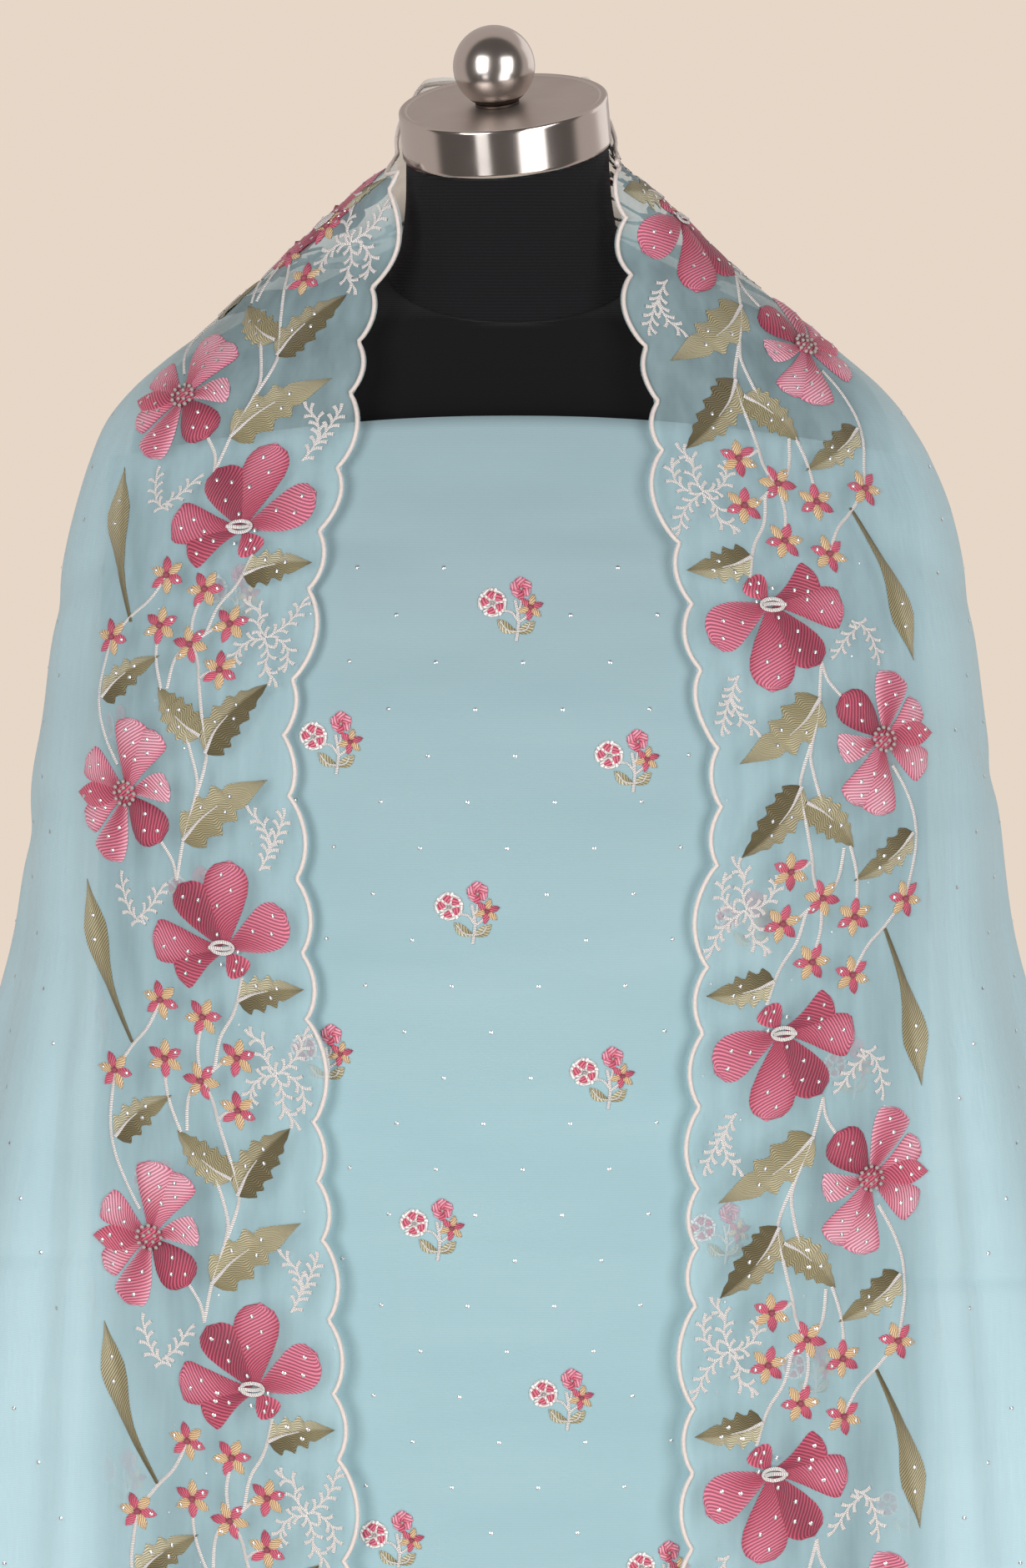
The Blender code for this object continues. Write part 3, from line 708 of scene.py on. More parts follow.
# %% The steel cap and the ball knob
def turned(name, profile, steps, finish, foot, axis):
    """Spins a profile of (radius, height) pairs round Z, then stands it on its axis."""
    work = bmesh.new()
    points = [work.verts.new((radius, 0, height)) for radius, height in profile]
    edges = [work.edges.new(pair) for pair in zip(points, points[1:])]
    bmesh.ops.spin(
        work, geom=points + edges, axis=(0, 0, 1), cent=(0, 0, 0), angle=2 * math.pi,
        steps=steps, use_merge=True, use_duplicate=False,
    )
    bmesh.ops.remove_doubles(work, verts=work.verts[:], dist=0.00001)
    bmesh.ops.recalc_face_normals(work, faces=work.faces[:])
    lean = Vector((0, 0, 1)).rotation_difference(axis).to_matrix().to_4x4()
    work.transform(Matrix.Translation(foot) @ lean)
    return new_piece(name, work, finish, smooth=35)


def arc(centre, radius, start, end, steps):
    """Points of an arc in a profile, with the angles in degrees from the +radius direction."""
    angles = [math.radians(start + (end - start) * i / steps) for i in range(steps + 1)]
    return [(centre[0] + radius * math.cos(a), centre[1] + radius * math.sin(a)) for a in angles]


cap_profile = [
    (reach, CAP_HEIGHT - 0.0006) for reach in (0, CAP_RADIUS - 0.0060, CAP_RADIUS - 0.0045)
]
cap_profile += arc((CAP_RADIUS - 0.0032, CAP_HEIGHT - 0.0012), 0.0012, 100, 90, 1)
cap_profile += arc((CAP_RADIUS - 0.0014, CAP_HEIGHT - 0.0014), 0.0014, 90, 0, 6)
cap_profile += [(CAP_RADIUS, height) for height in (CAP_HEIGHT - 0.0025, 0.0022, 0.0010)]
cap_profile += [(CAP_RADIUS - 0.0006, 0.0), (0, 0)]
steel_cap = turned(
    "steel_cap", cap_profile, 128, bright_steel, CAP_TOP - CAP_LEAN * CAP_HEIGHT, CAP_LEAN
)
steel_cap.data.materials.append(brushed_steel)
for face in steel_cap.data.polygons:
    face.material_index = int(face.normal.dot(CAP_LEAN) > 0.95)  # the flat top
in_frame(steel_cap, "neck_cap")

KNOB_RADIUS, KNOB_LIFT, KNOB_FOOT = 0.0220, 0.0200, 0.0118
KNOB_SHIFT = Vector((-0.0030, 0, -0.00028))
KNOB_SHADE_TOP = 0.0040  # the ball is painted dark below this height above the cap: painted shade and a painted dark reflection
knob_profile = [(0, KNOB_LIFT + KNOB_RADIUS)]
knob_profile += arc((0, KNOB_LIFT), KNOB_RADIUS, 87, -60, 28)
knob_profile += [(KNOB_FOOT, 0.0009), (KNOB_FOOT, -0.0003), (0, -0.0003)]
knob_foot = CAP_TOP + KNOB_SHIFT
ball_knob = turned("ball_knob", knob_profile, 72, polished_steel, knob_foot, CAP_LEAN)
# the ball's underside gets the dark steel of painted shade
ball_knob.data.materials.append(painted_shade_steel)
for face in ball_knob.data.polygons:
    face.material_index = int((face.center - knob_foot).dot(CAP_LEAN) < KNOB_SHADE_TOP)
in_frame(ball_knob, "cap_knob")

# %% [markdown]
# ## The wrapped lengths
#
# The kameez length goes once round the chest and laps over itself at the middle of the back,
# and the salwar length goes round the waist below it.  Both are flat grids, wrapped.  Their
# finer creases are soft troughs, listed a row each.

# %% Creases and wrapping
# angle, height, angle_width, tall, depth, slope
KAMEEZ_CREASES = (
    (0.05, 1.352, 0.5, 0.0085, -0.0016, 0.01), (-0.3, 1.331, 0.42, 0.01, -0.0018, -0.02),
    (0.34, 1.322, 0.36, 0.009, -0.0014, 0.03), (-0.05, 1.3, 0.55, 0.014, -0.0015, 0.005),
    (0.22, 1.262, 0.3, 0.015, -0.001, -0.03), (-0.55, 1.12, 0.3, 0.03, -0.0014, 0.12),
    (0.6, 1.06, 0.3, 0.03, -0.0014, -0.12), (1.35, 1.3, 0.45, 0.012, -0.003, 0.05),
    (-1.4, 1.31, 0.45, 0.012, -0.003, -0.05), (2.55, 1.29, 0.35, 0.015, -0.003, 0.04),
    (-2.6, 1.27, 0.35, 0.015, -0.003, -0.06),
)
SALWAR_CREASES = (
    (0.4, 0.3, 0.5, 0.02, -0.0018, 0.03), (-0.5, 0.24, 0.5, 0.018, -0.0016, -0.03),
    (2.4, 0.28, 0.45, 0.02, -0.0018, 0.02), (-2.1, 0.33, 0.45, 0.02, -0.0018, -0.04),
)


def wrapped_net(table, folds, creases, heights, angles):
    """Points of a wrapped length for every pair of a height and an angle."""
    z, a = np.meshgrid(heights, angles, indexing="ij")
    sizes = [column(table, i, z) for i in (1, 2, 3)]
    push = LAP_STEP * ease((a - (np.pi - 3 * LAP)) / (1.6 * LAP))
    add_folds(push, a, z, folds, WRAP_GROWTH)
    add_creases(push, a, z, creases)
    flat = outline(a, *sizes) + square_out(sizes, a) * push[..., None]
    return np.concatenate((flat, z[..., None]), axis=-1)


class Wrapped:
    """A wrapped length, read by its angle and height."""

    def __init__(self, table, folds, creases, low, high):
        self.heights = np.linspace(low, high, 420)
        self.angles = np.linspace(-(np.pi + LAP), np.pi + LAP, 721)
        self.net = wrapped_net(table, folds, creases, self.heights, self.angles)
        walked = walked_to(self.net[..., :2])
        self.walked = walked - walked[:, 360:361]  # from the middle of the front

    def at(self, angle, height):
        down = (height - self.heights[0]) / (self.heights[1] - self.heights[0])
        across = (angle - self.angles[0]) / (self.angles[1] - self.angles[0])
        return between(self.net, down, across)


def kameez_top(angle):
    return KAMEEZ_TOP - KAMEEZ_DIP * ease(np.abs(np.sin(angle / 2)) * 1.35)


def wrap_piece(name, cloth, top_of, hem, columns, rows, finish):
    piece = flat_grid(name, columns, rows, finish)
    flat = points_of(piece)
    angle = flat[:, 0] * (np.pi + LAP)
    top = top_of(angle)
    move_points(piece, cloth.at(angle, top + (hem - top) * (1 - flat[:, 1]) / 2))
    face_away(piece)
    wall = piece.modifiers.new("wall", "SOLIDIFY")
    wall.thickness, wall.offset = CLOTH_WALL, 0.0
    return piece


# %% The kameez and salwar lengths
kameez_cloth = Wrapped(KAMEEZ, KAMEEZ_FOLDS, KAMEEZ_CREASES, 0.395, 1.400)
kameez = wrap_piece("kameez_length", kameez_cloth, kameez_top, KAMEEZ_HEM, 300, 150, kameez_silk)
in_frame(kameez, "kameez_cloth")

salwar_cloth = Wrapped(SALWAR, SALWAR_FOLDS, SALWAR_CREASES, 0.095, 1.050)
salwar = wrap_piece(
    "salwar_length", salwar_cloth, lambda a: np.full_like(a, SALWAR_TOP), SALWAR_HEM, 240, 110,
    salwar_silk,
)
in_frame(salwar, "salwar_cloth")

# %% [markdown]
# ## The dupatta
#
# The dupatta lies round the back of the neck and over both shoulders.  Its shape is worked out
# as a cape: at each height an outline runs from the left inner edge, round the back, to the
# right inner edge.  A place is a share of that way, from -1 through 0 to 1.  Vertical folds
# grow on their way down, and low ripples and slack creases are listed and added.

# %% The dupatta's outlines
# place, width, depth, top, bottom
RIPPLES = (
    (-0.955, 0.016, 0.0011, 1.2, 0.55), (-0.905, 0.018, 0.0016, 1.12, 0.47),
    (-0.842, 0.022, 0.0024, 1.16, 0.5), (-0.78, 0.024, 0.003, 1.22, 0.46),
    (0.775, 0.024, 0.0028, 1.2, 0.46), (0.838, 0.022, 0.0024, 1.1, 0.48),
    (0.9, 0.018, 0.0016, 1.18, 0.52), (0.952, 0.016, 0.001, 1.06, 0.5),
)
# place, height, width, tall, depth, slope
CREASES = (
    (-0.72, 0.935, 0.16, 0.006, -0.0024, -0.1), (0.74, 0.925, 0.18, 0.0055, -0.0026, 0.06),
    (0.6, 1.19, 0.2, 0.015, -0.003, 0.3), (-0.58, 1.15, 0.2, 0.016, -0.003, -0.28),
    (-0.66, 1.29, 0.2, 0.013, -0.0022, -0.22), (0.68, 1.3, 0.2, 0.013, -0.0022, 0.2),
    (-0.1, 1.44, 0.3, 0.012, -0.003, 0.04), (0.16, 1.395, 0.28, 0.014, -0.0034, -0.06),
    (-0.22, 1.33, 0.26, 0.015, -0.003, 0.1), (0.06, 0.98, 0.3, 0.007, -0.0022, 0.03),
    (-0.34, 0.8, 0.2, 0.008, -0.0026, 0.12), (0.36, 0.76, 0.2, 0.008, -0.0026, -0.1),
)


def half_rings(heights, side):
    """For each height, the lengths from the middle of the back to an inner edge, with angles."""
    half_width = column(DUPATTA, 1, heights)
    shift = column(DUPATTA, 4, heights)
    reach = column(DUPATTA, 6 if side < 0 else 7, heights) - side * shift
    last = np.arcsin(np.minimum(reach / half_width, 1.0) ** (SQUARENESS / 2))
    steps = np.linspace(0, 1, 161)
    angles = np.pi - (np.pi - last)[:, None] * steps
    sizes = [column(DUPATTA, i, heights)[:, None] for i in (1, 2, 3)]
    return angles, walked_to(outline(-side * angles, *sizes))


NET_HEIGHTS = np.linspace(0.395, 1.580, 593)
NET_PLACES = np.linspace(-1, 1, 601)
rings_by_side = {side: half_rings(NET_HEIGHTS, side) for side in (-1, 1)}
angle_net = np.empty((len(NET_HEIGHTS), len(NET_PLACES)))
for row in range(len(NET_HEIGHTS)):
    for side in (-1, 1):
        angles, walked = (table[row] for table in rings_by_side[side])
        own = NET_PLACES < 0 if side < 0 else NET_PLACES >= 0
        target = np.abs(NET_PLACES[own]) * walked[-1]
        angle_net[row, own] = -side * np.interp(target, walked, angles)

z, p = np.meshgrid(NET_HEIGHTS, NET_PLACES, indexing="ij")
sizes = [column(DUPATTA, i, z) for i in (1, 2, 3)]
push = np.zeros_like(z)
add_folds(push, p, z, DUPATTA_FOLDS, DUPATTA_GROWTH)
for place, width, depth, top, bottom in RIPPLES:
    wander = 0.006 * np.sin((z - bottom) * 9 + place * 30)  # so that no two are parallel
    push += depth * ease((top - z) / 0.25) * ridge(p - place - wander, width)
add_creases(push, p, z, CREASES)
centre = np.stack((column(DUPATTA, 4, z), column(DUPATTA, 5, z)), axis=-1)
flat = centre + outline(angle_net, *sizes) + square_out(sizes, angle_net) * push[..., None]
DUPATTA_NET = np.concatenate((flat, z[..., None]), axis=-1)
HALF_LENGTH = {side: rings_by_side[side][1][:, -1] for side in (-1, 1)}


# %% [markdown]
# A point of the cape is named by its place and by how far down it lies, from 0 at the upper
# edge to 1 at the hem.  The inner edges are walked to find their lengths, because scallops are
# measured along the edge.


# %% Places on the cape
def from_net(place, height):
    down = (height - NET_HEIGHTS[0]) / (NET_HEIGHTS[1] - NET_HEIGHTS[0])
    across = (place + 1) / (NET_PLACES[1] - NET_PLACES[0])
    down = np.clip(down, 0, len(NET_HEIGHTS) - 1.001)
    return between(DUPATTA_NET, down, across)


# Which scallops follow one another down the left front, -1, and the right one, 1.
order = {-1: [-i % 6 for i in range(FALL)], 1: [(1 + i) % 6 for i in range(FALL)]}
FALL_LENGTH = {side: float(SCALLOPS[order[side]].sum()) for side in (-1, 1)}
LAST = {}  # the height where each front ends
heights = np.linspace(SHOULDER_HEIGHT, 0.42, 2400)
for side in (-1, 1):
    walked = walked_to(from_net(np.full_like(heights, side), heights))
    LAST[side] = float(np.interp(FALL_LENGTH[side], walked, heights))
print(f"front hems at {LAST[-1]:.3f} and {LAST[1]:.3f} m")


def upper_edge(place):
    rise = NAPE_HEIGHT - SHOULDER_HEIGHT
    return SHOULDER_HEIGHT + rise * ease((1 - np.abs(place)) / NAPE_SHARE)


def lower_edge(place):
    front = np.where(place < 0, LAST[-1], LAST[1])
    reach = np.minimum(np.abs(place), 1.0)
    outer = SIDE_HEM + (front - SIDE_HEM) * ease((reach - CORNER) / (1 - CORNER))
    inner = BACK_HEM + (SIDE_HEM - BACK_HEM) * (np.minimum(reach, CORNER) / CORNER) ** 1.6
    return np.where(reach > CORNER, outer, inner)


def drape(place, down):
    """Where a point of the dupatta hangs."""
    top = upper_edge(place)
    return from_net(place, top + (lower_edge(place) - top) * down)


def scallop(along):
    """How far the scalloped edge bulges, at a distance along the border."""
    ends = np.cumsum(SCALLOPS)
    spot = np.mod(along, REPEAT)
    index = np.minimum(np.searchsorted(ends, spot), 5)
    share = (spot - (ends - SCALLOPS)[index]) / SCALLOPS[index]
    return SCALLOP_RISE * SCALLOPS[index] * np.sin(np.pi * np.clip(share, 0, 1)) ** 0.7


# %% [markdown]
# The edge is followed all the way: up the left front, behind the neck and down the right, and
# then round the hem.  At every station a row is carried inwards over the cloth in 4 mm steps,
# each step straight on along the surface, as a ribbon pressed flat would lie.  On the fronts
# the rows are turned nearly level, and the pattern slips a little along the edge.  That gives
# a net on which embroidery worked flat can be laid.


# %% Border strips
LEVELLING = 0.3  # how much of a row's slope is taken out at each step
FEEL = 0.004  # how far to each side the cloth is felt for its stretch or its slope
STRIP_WIDTH, STRIP_STEPS = 0.136, 34
BORDER_MIDDLE = -0.01  # the y of the point that the border looks away from


def strip_net(place, down, level):
    """Points and normals of a ribbon that starts at stations along an edge and lies inwards.

    level says how far its rows are turned to run level: 1 or -1, by which way the edge
    goes down, is all the way, and 0 leaves them square to the edge.
    """
    def slopes(p, d):
        e = 0.0015  # a small share of the way
        return (
            (drape(p + e, d) - drape(p - e, d)) / (2 * e),
            (drape(p, d + e) - drape(p, d - e)) / (2 * e),
        )

    p, d = place.copy(), down.copy()
    here = drape(p, d)
    along = np.gradient(here, axis=0)
    # The edge's own direction is smoothed over 25 stations, so that no fold kinks the rows.
    kernel = np.hanning(25) / np.hanning(25).sum()
    padded = np.pad(along, ((12, 12), (0, 0)), mode="edge")
    along = unit(np.stack([np.convolve(padded[:, i], kernel, "valid") for i in range(3)], axis=1))
    upright = np.outer(level, (0.0, 0.0, -1.0))
    along = unit(along * (1 - np.abs(level))[:, None] + upright)
    by_p, by_d = slopes(p, d)
    normal = normal_of(by_p, by_d, here, BORDER_MIDDLE)
    heading = unit(np.cross(normal, along))
    points, normals = [here], [normal]
    step = STRIP_WIDTH / STRIP_STEPS
    for _ in range(STRIP_STEPS):
        # The shares of p and d that make one step in the heading, by least squares.
        a, b, c = (by_p * by_p).sum(1), (by_p * by_d).sum(1), (by_d * by_d).sum(1)
        f, g = (by_p * heading).sum(1), (by_d * heading).sum(1)
        spread = a * c - b * b
        p = np.clip(p + step * (c * f - b * g) / spread, -1.02, 1.02)
        d = np.clip(d + step * (a * g - b * f) / spread, -0.03, 1.03)
        here = drape(p, d)
        by_p, by_d = slopes(p, d)
        normal = normal_of(by_p, by_d, here, BORDER_MIDDLE)
        heading = unit(heading - normal * (heading * normal).sum(1, keepdims=True))
        heading = unit(heading + LEVELLING * np.cross(normal, upright))
        points.append(here)
        normals.append(normal)
    return np.stack(points, axis=1), np.stack(normals, axis=1)


class Strip:
    """A border strip: its start and end along the edge, and its net of points."""

    def __init__(self, start, end, place, down, level):
        self.start, self.end = start, end
        self.points, self.normals = strip_net(place, down, level)

    def read(self, net, along, out):
        across = (along - self.start) / (self.end - self.start) * (net.shape[0] - 1)
        return between(net, across, out / STRIP_WIDTH * (net.shape[1] - 1))

    def lay(self, piece):
        """Moves a flat piece, its lever arms unstretched, onto the cloth."""
        flat, lever = points_of(piece), points_of(piece, "lever")
        anchor = flat - lever
        ahead = self.read(self.points, anchor[:, 0] + FEEL, anchor[:, 1])
        behind = self.read(self.points, anchor[:, 0] - FEEL, anchor[:, 1])
        stretch = np.linalg.norm(ahead - behind, axis=1) / (2 * FEEL)
        along = anchor[:, 0] + lever[:, 0] / np.clip(stretch, 0.4, 3.5)
        out = anchor[:, 1] + lever[:, 1]
        normal = unit(self.read(self.normals, along, out))
        move_points(piece, self.read(self.points, along, out) + normal * flat[:, 2:])


NECK_HALF = REPEAT / 2
# How far the cloth has slipped down each front: at a distance along the pattern, how much.
SLIPS = {
    -1: (
        (-0.05, 0.09, 0.12, 0.16, 0.20, 0.235, 0.29, 0.32, 0.40, 0.75, FALL_LENGTH[-1]),
        (0.031, 0.031, 0.0285, 0.027, 0.023, 0.020, 0.014, 0.0125, 0.014, 0.014, 0),
    ),
    1: (
        (-0.05, 0.0, 0.035, 0.075, 0.15, 0.18, 0.235, 0.27, 0.31, 0.38, 0.45, 0.75,
         FALL_LENGTH[1]),
        (0.016, 0.016, 0.012, 0.0045, 0.003, -0.001, -0.0045, -0.0065, -0.0105, -0.0115,
         -0.0125, -0.0125, 0),
    ),
}
walks = {}  # for each side, shares of the way down and distances along the pattern
downs = np.linspace(0, 1, 1500)
for side in (-1, 1):
    walked = walked_to(drape(np.full_like(downs, float(side)), downs))
    pattern = np.linspace(-0.04, FALL_LENGTH[side], 800)
    walks[side] = (downs, np.interp(walked, pattern + np.interp(pattern, *SLIPS[side]), pattern))
round_neck = np.linspace(-1, 1, 600)
neck_walk = walked_to(drape(round_neck, np.zeros_like(round_neck)))
print(f"the edge behind the neck is {neck_walk[-1]:.3f} m long")
NECK_START, NECK_END = -NECK_HALF - walks[-1][1][0], NECK_HALF + walks[1][1][0]
neck_stations = NECK_START + (NECK_END - NECK_START) * neck_walk / neck_walk[-1]


def nape_dip(along):
    """Behind the neck the edge sags a little, and more on the left."""
    return (0.0055 - 0.004 * along / NECK_HALF) * ease((NECK_HALF - np.abs(along)) / 0.04)


INNER_START, INNER_END = -NECK_HALF - walks[-1][1][-1], NECK_HALF + walks[1][1][-1]
stations = np.linspace(INNER_START, INNER_END, 720)
inner_place = np.interp(stations, neck_stations, round_neck)
inner_down = np.where(
    stations < 0,
    np.interp(-NECK_HALF - stations, walks[-1][1], walks[-1][0]),
    np.interp(stations - NECK_HALF, walks[1][1], walks[1][0]),
)
inner_down += nape_dip(stations) / (NAPE_HEIGHT - BACK_HEM)  # as a share of the way down
# The rows turn level between 10 and 20 cm from the middle of the nape.
level = np.sign(stations) * ease((np.abs(stations) - 0.10) / 0.10)
inner_strip = Strip(INNER_START, INNER_END, inner_place, inner_down, level)

hem_place = np.linspace(1, -1, 1600)
hem_walk = walked_to(drape(hem_place, np.ones_like(hem_place)))
HEM_LENGTH = float(hem_walk[-1])
HEM_REPEATS = round(HEM_LENGTH / REPEAT)
stations = np.linspace(0, HEM_LENGTH, 720)
hem_strip = Strip(
    0, HEM_REPEATS * REPEAT, np.interp(stations, hem_walk, hem_place), np.ones_like(stations),
    np.zeros_like(stations),
)
print(f"hem {HEM_LENGTH:.3f} m, {HEM_REPEATS} repeats; inner edge {INNER_END - INNER_START:.3f} m")
INNER_PHASE = NECK_HALF + SCALLOPS[0]

# %% [markdown]
# Now the cloth itself.  Its outermost rows and columns are drawn out by the scallops, and the
# shift fades over the first 22 mm, so the weave isn't torn.

# %% The dupatta's sheet
FADE = 0.022  # how far in from the edge the scallops' shift fades out
dupatta = flat_grid("dupatta_sheet", 232, 410, organza)
flat = points_of(dupatta)
place = np.sign(flat[:, 0]) * (1 - (1 - np.abs(flat[:, 0])) ** 1.35)  # closer at the edges
down = (1 - flat[:, 1]) / 2
top, hem = upper_edge(place), lower_edge(place)
height = top + (hem - top) * down
half = np.where(
    place < 0,
    np.interp(height, NET_HEIGHTS, HALF_LENGTH[-1]),
    np.interp(height, NET_HEIGHTS, HALF_LENGTH[1]),
)
walked = np.where(
    place < 0,
    -NECK_HALF - np.interp(down, *walks[-1]),
    NECK_HALF + np.interp(down, *walks[1]),
)
front = scallop(walked + INNER_PHASE) * ease(1 - (1 - np.abs(place)) * half / FADE)
behind = np.interp(place, round_neck, neck_stations)
upper = (scallop(behind + INNER_PHASE) - nape_dip(behind)) * ease(1 - (top - height) / FADE)
round_hem = np.interp(-place, -hem_place, hem_walk) / HEM_LENGTH * HEM_REPEATS * REPEAT
lower = scallop(round_hem) * ease(1 - (height - hem) / FADE)
upper *= np.where(np.abs(place) > 0.98, 0.4, 1.0)  # less where both edges are drawn out
move_points(dupatta, from_net(place + np.sign(place) * front / half, height + upper - lower))
face_away(dupatta)
from_edge = (1 - np.abs(place)) * half
gathered = ease((from_edge - 0.085) / 0.075)  # one ply up to 85 mm in, all of them at 160 mm
plies = dupatta.data.attributes.new("plies", "FLOAT", "POINT")
plies.data.foreach_set("value", gathered.astype(np.float32))
in_frame(dupatta, "dupatta")

# %% [markdown]
# ## The border's embroidery
#
# The border is worked flat and then laid.  Its kit is a padded patch, from which come petals,
# leaves and stems, and a bead.  Each vertex carries its thread colour, its stitch coordinates
# and a lever: its arm from the motif's own middle.  All the lists below are in millimetres,
# with x along the border and y inwards from the scalloped edge.

# %% The embroiderer's kit
DEEP, ROSE, MID, LIGHT, CORAL = "#93384F", "#B14A62", "#CC7188", "#E69FB0", "#D2647C"
OLIVE, MOSS, SAGE, PALE = "#665C3E", "#938967", "#B3AA8A", "#C5BEA1"
IVORY, GOLD, CORAL_PINK = "#F1E6E1", "#DBB78E", "#CB5F76"


def blend(one, two, share):
    return [a + (b - a) * share for a, b in zip(linear(one), linear(two))]


def smooth_path(points, steps):
    """Points on a soft curve through the given ones."""
    points = [Vector(p) for p in points]
    ends = [points[0] * 2 - points[1]] + points + [points[-1] * 2 - points[-2]]
    made = []
    for i in range(1, len(ends) - 2):
        a, b, c, d = ends[i - 1 : i + 3]
        for step in range(steps):
            t = step / steps
            made.append(
                0.5 * (
                    2 * b + (c - a) * t + (2 * a - 5 * b + 4 * c - d) * t**2
                    + (3 * b - a - 3 * c + d) * t**3
                )
            )
    return made + [points[-1]]


# Half widths along petals and leaves, as shares of the widest: where, and how wide.
ROUND = (
    (0, 0.10, 0.25, 0.45, 0.65, 0.80, 0.90, 0.96, 1.0),
    (0.12, 0.3, 0.55, 0.84, 1, 0.96, 0.76, 0.5, 0),
)
FLARED = (
    (0, 0.15, 0.35, 0.55, 0.75, 0.88, 0.95, 1.0), (0.12, 0.30, 0.55, 0.80, 0.97, 1, 0.86, 0.28),
)
BLADE = ((0, 0.12, 0.30, 0.50, 0.68, 0.82, 0.92, 1.0), (0.15, 0.45, 0.80, 1, 0.92, 0.62, 0.32, 0))
POINTED = ((0, 0.2, 0.45, 0.7, 0.88, 1.0), (0.3, 0.72, 1, 0.84, 0.45, 0))
DISC = ((0, 0.1, 0.3, 0.5, 0.7, 0.9, 1.0), (0, 0.6, 0.92, 1, 0.92, 0.6, 0))
LOBED = (
    (0, 0.05, 0.15, 0.20, 0.26, 0.35, 0.40, 0.46, 0.54, 0.59, 0.66, 0.75, 0.86, 1.0),
    (0.08, 0.52, 0.92, 0.64, 0.72, 1, 0.60, 0.66, 0.90, 0.48, 0.56, 0.44, 0.24, 0),
)
JAGGED = (
    (0, 0.06, 0.14, 0.18, 0.26, 0.30, 0.35, 0.43, 0.48, 0.53, 0.61, 0.66, 0.74, 0.80, 0.88, 1.0),
    (0.08, 0.50, 0.88, 0.66, 1, 0.74, 0.78, 1, 0.68, 0.72, 0.86, 0.52, 0.62, 0.36, 0.28, 0),
)
SLENDER = (
    (0, 0.08, 0.18, 0.28, 0.38, 0.50, 0.64, 0.80, 1.0),
    (0, 0.22, 0.66, 1, 0.92, 0.58, 0.30, 0.19, 0.12),
)
FERN_STEP, FERN_REACH = 2.6, 6.0  # from one curled stitch to the next, and their length


def on_circle(centre, radius, angle, tall=1.0):
    """A point of a circle, or of an ellipse that is tall times as high as it is wide."""
    return (centre[0] + radius * math.cos(angle), centre[1] + radius * tall * math.sin(angle))


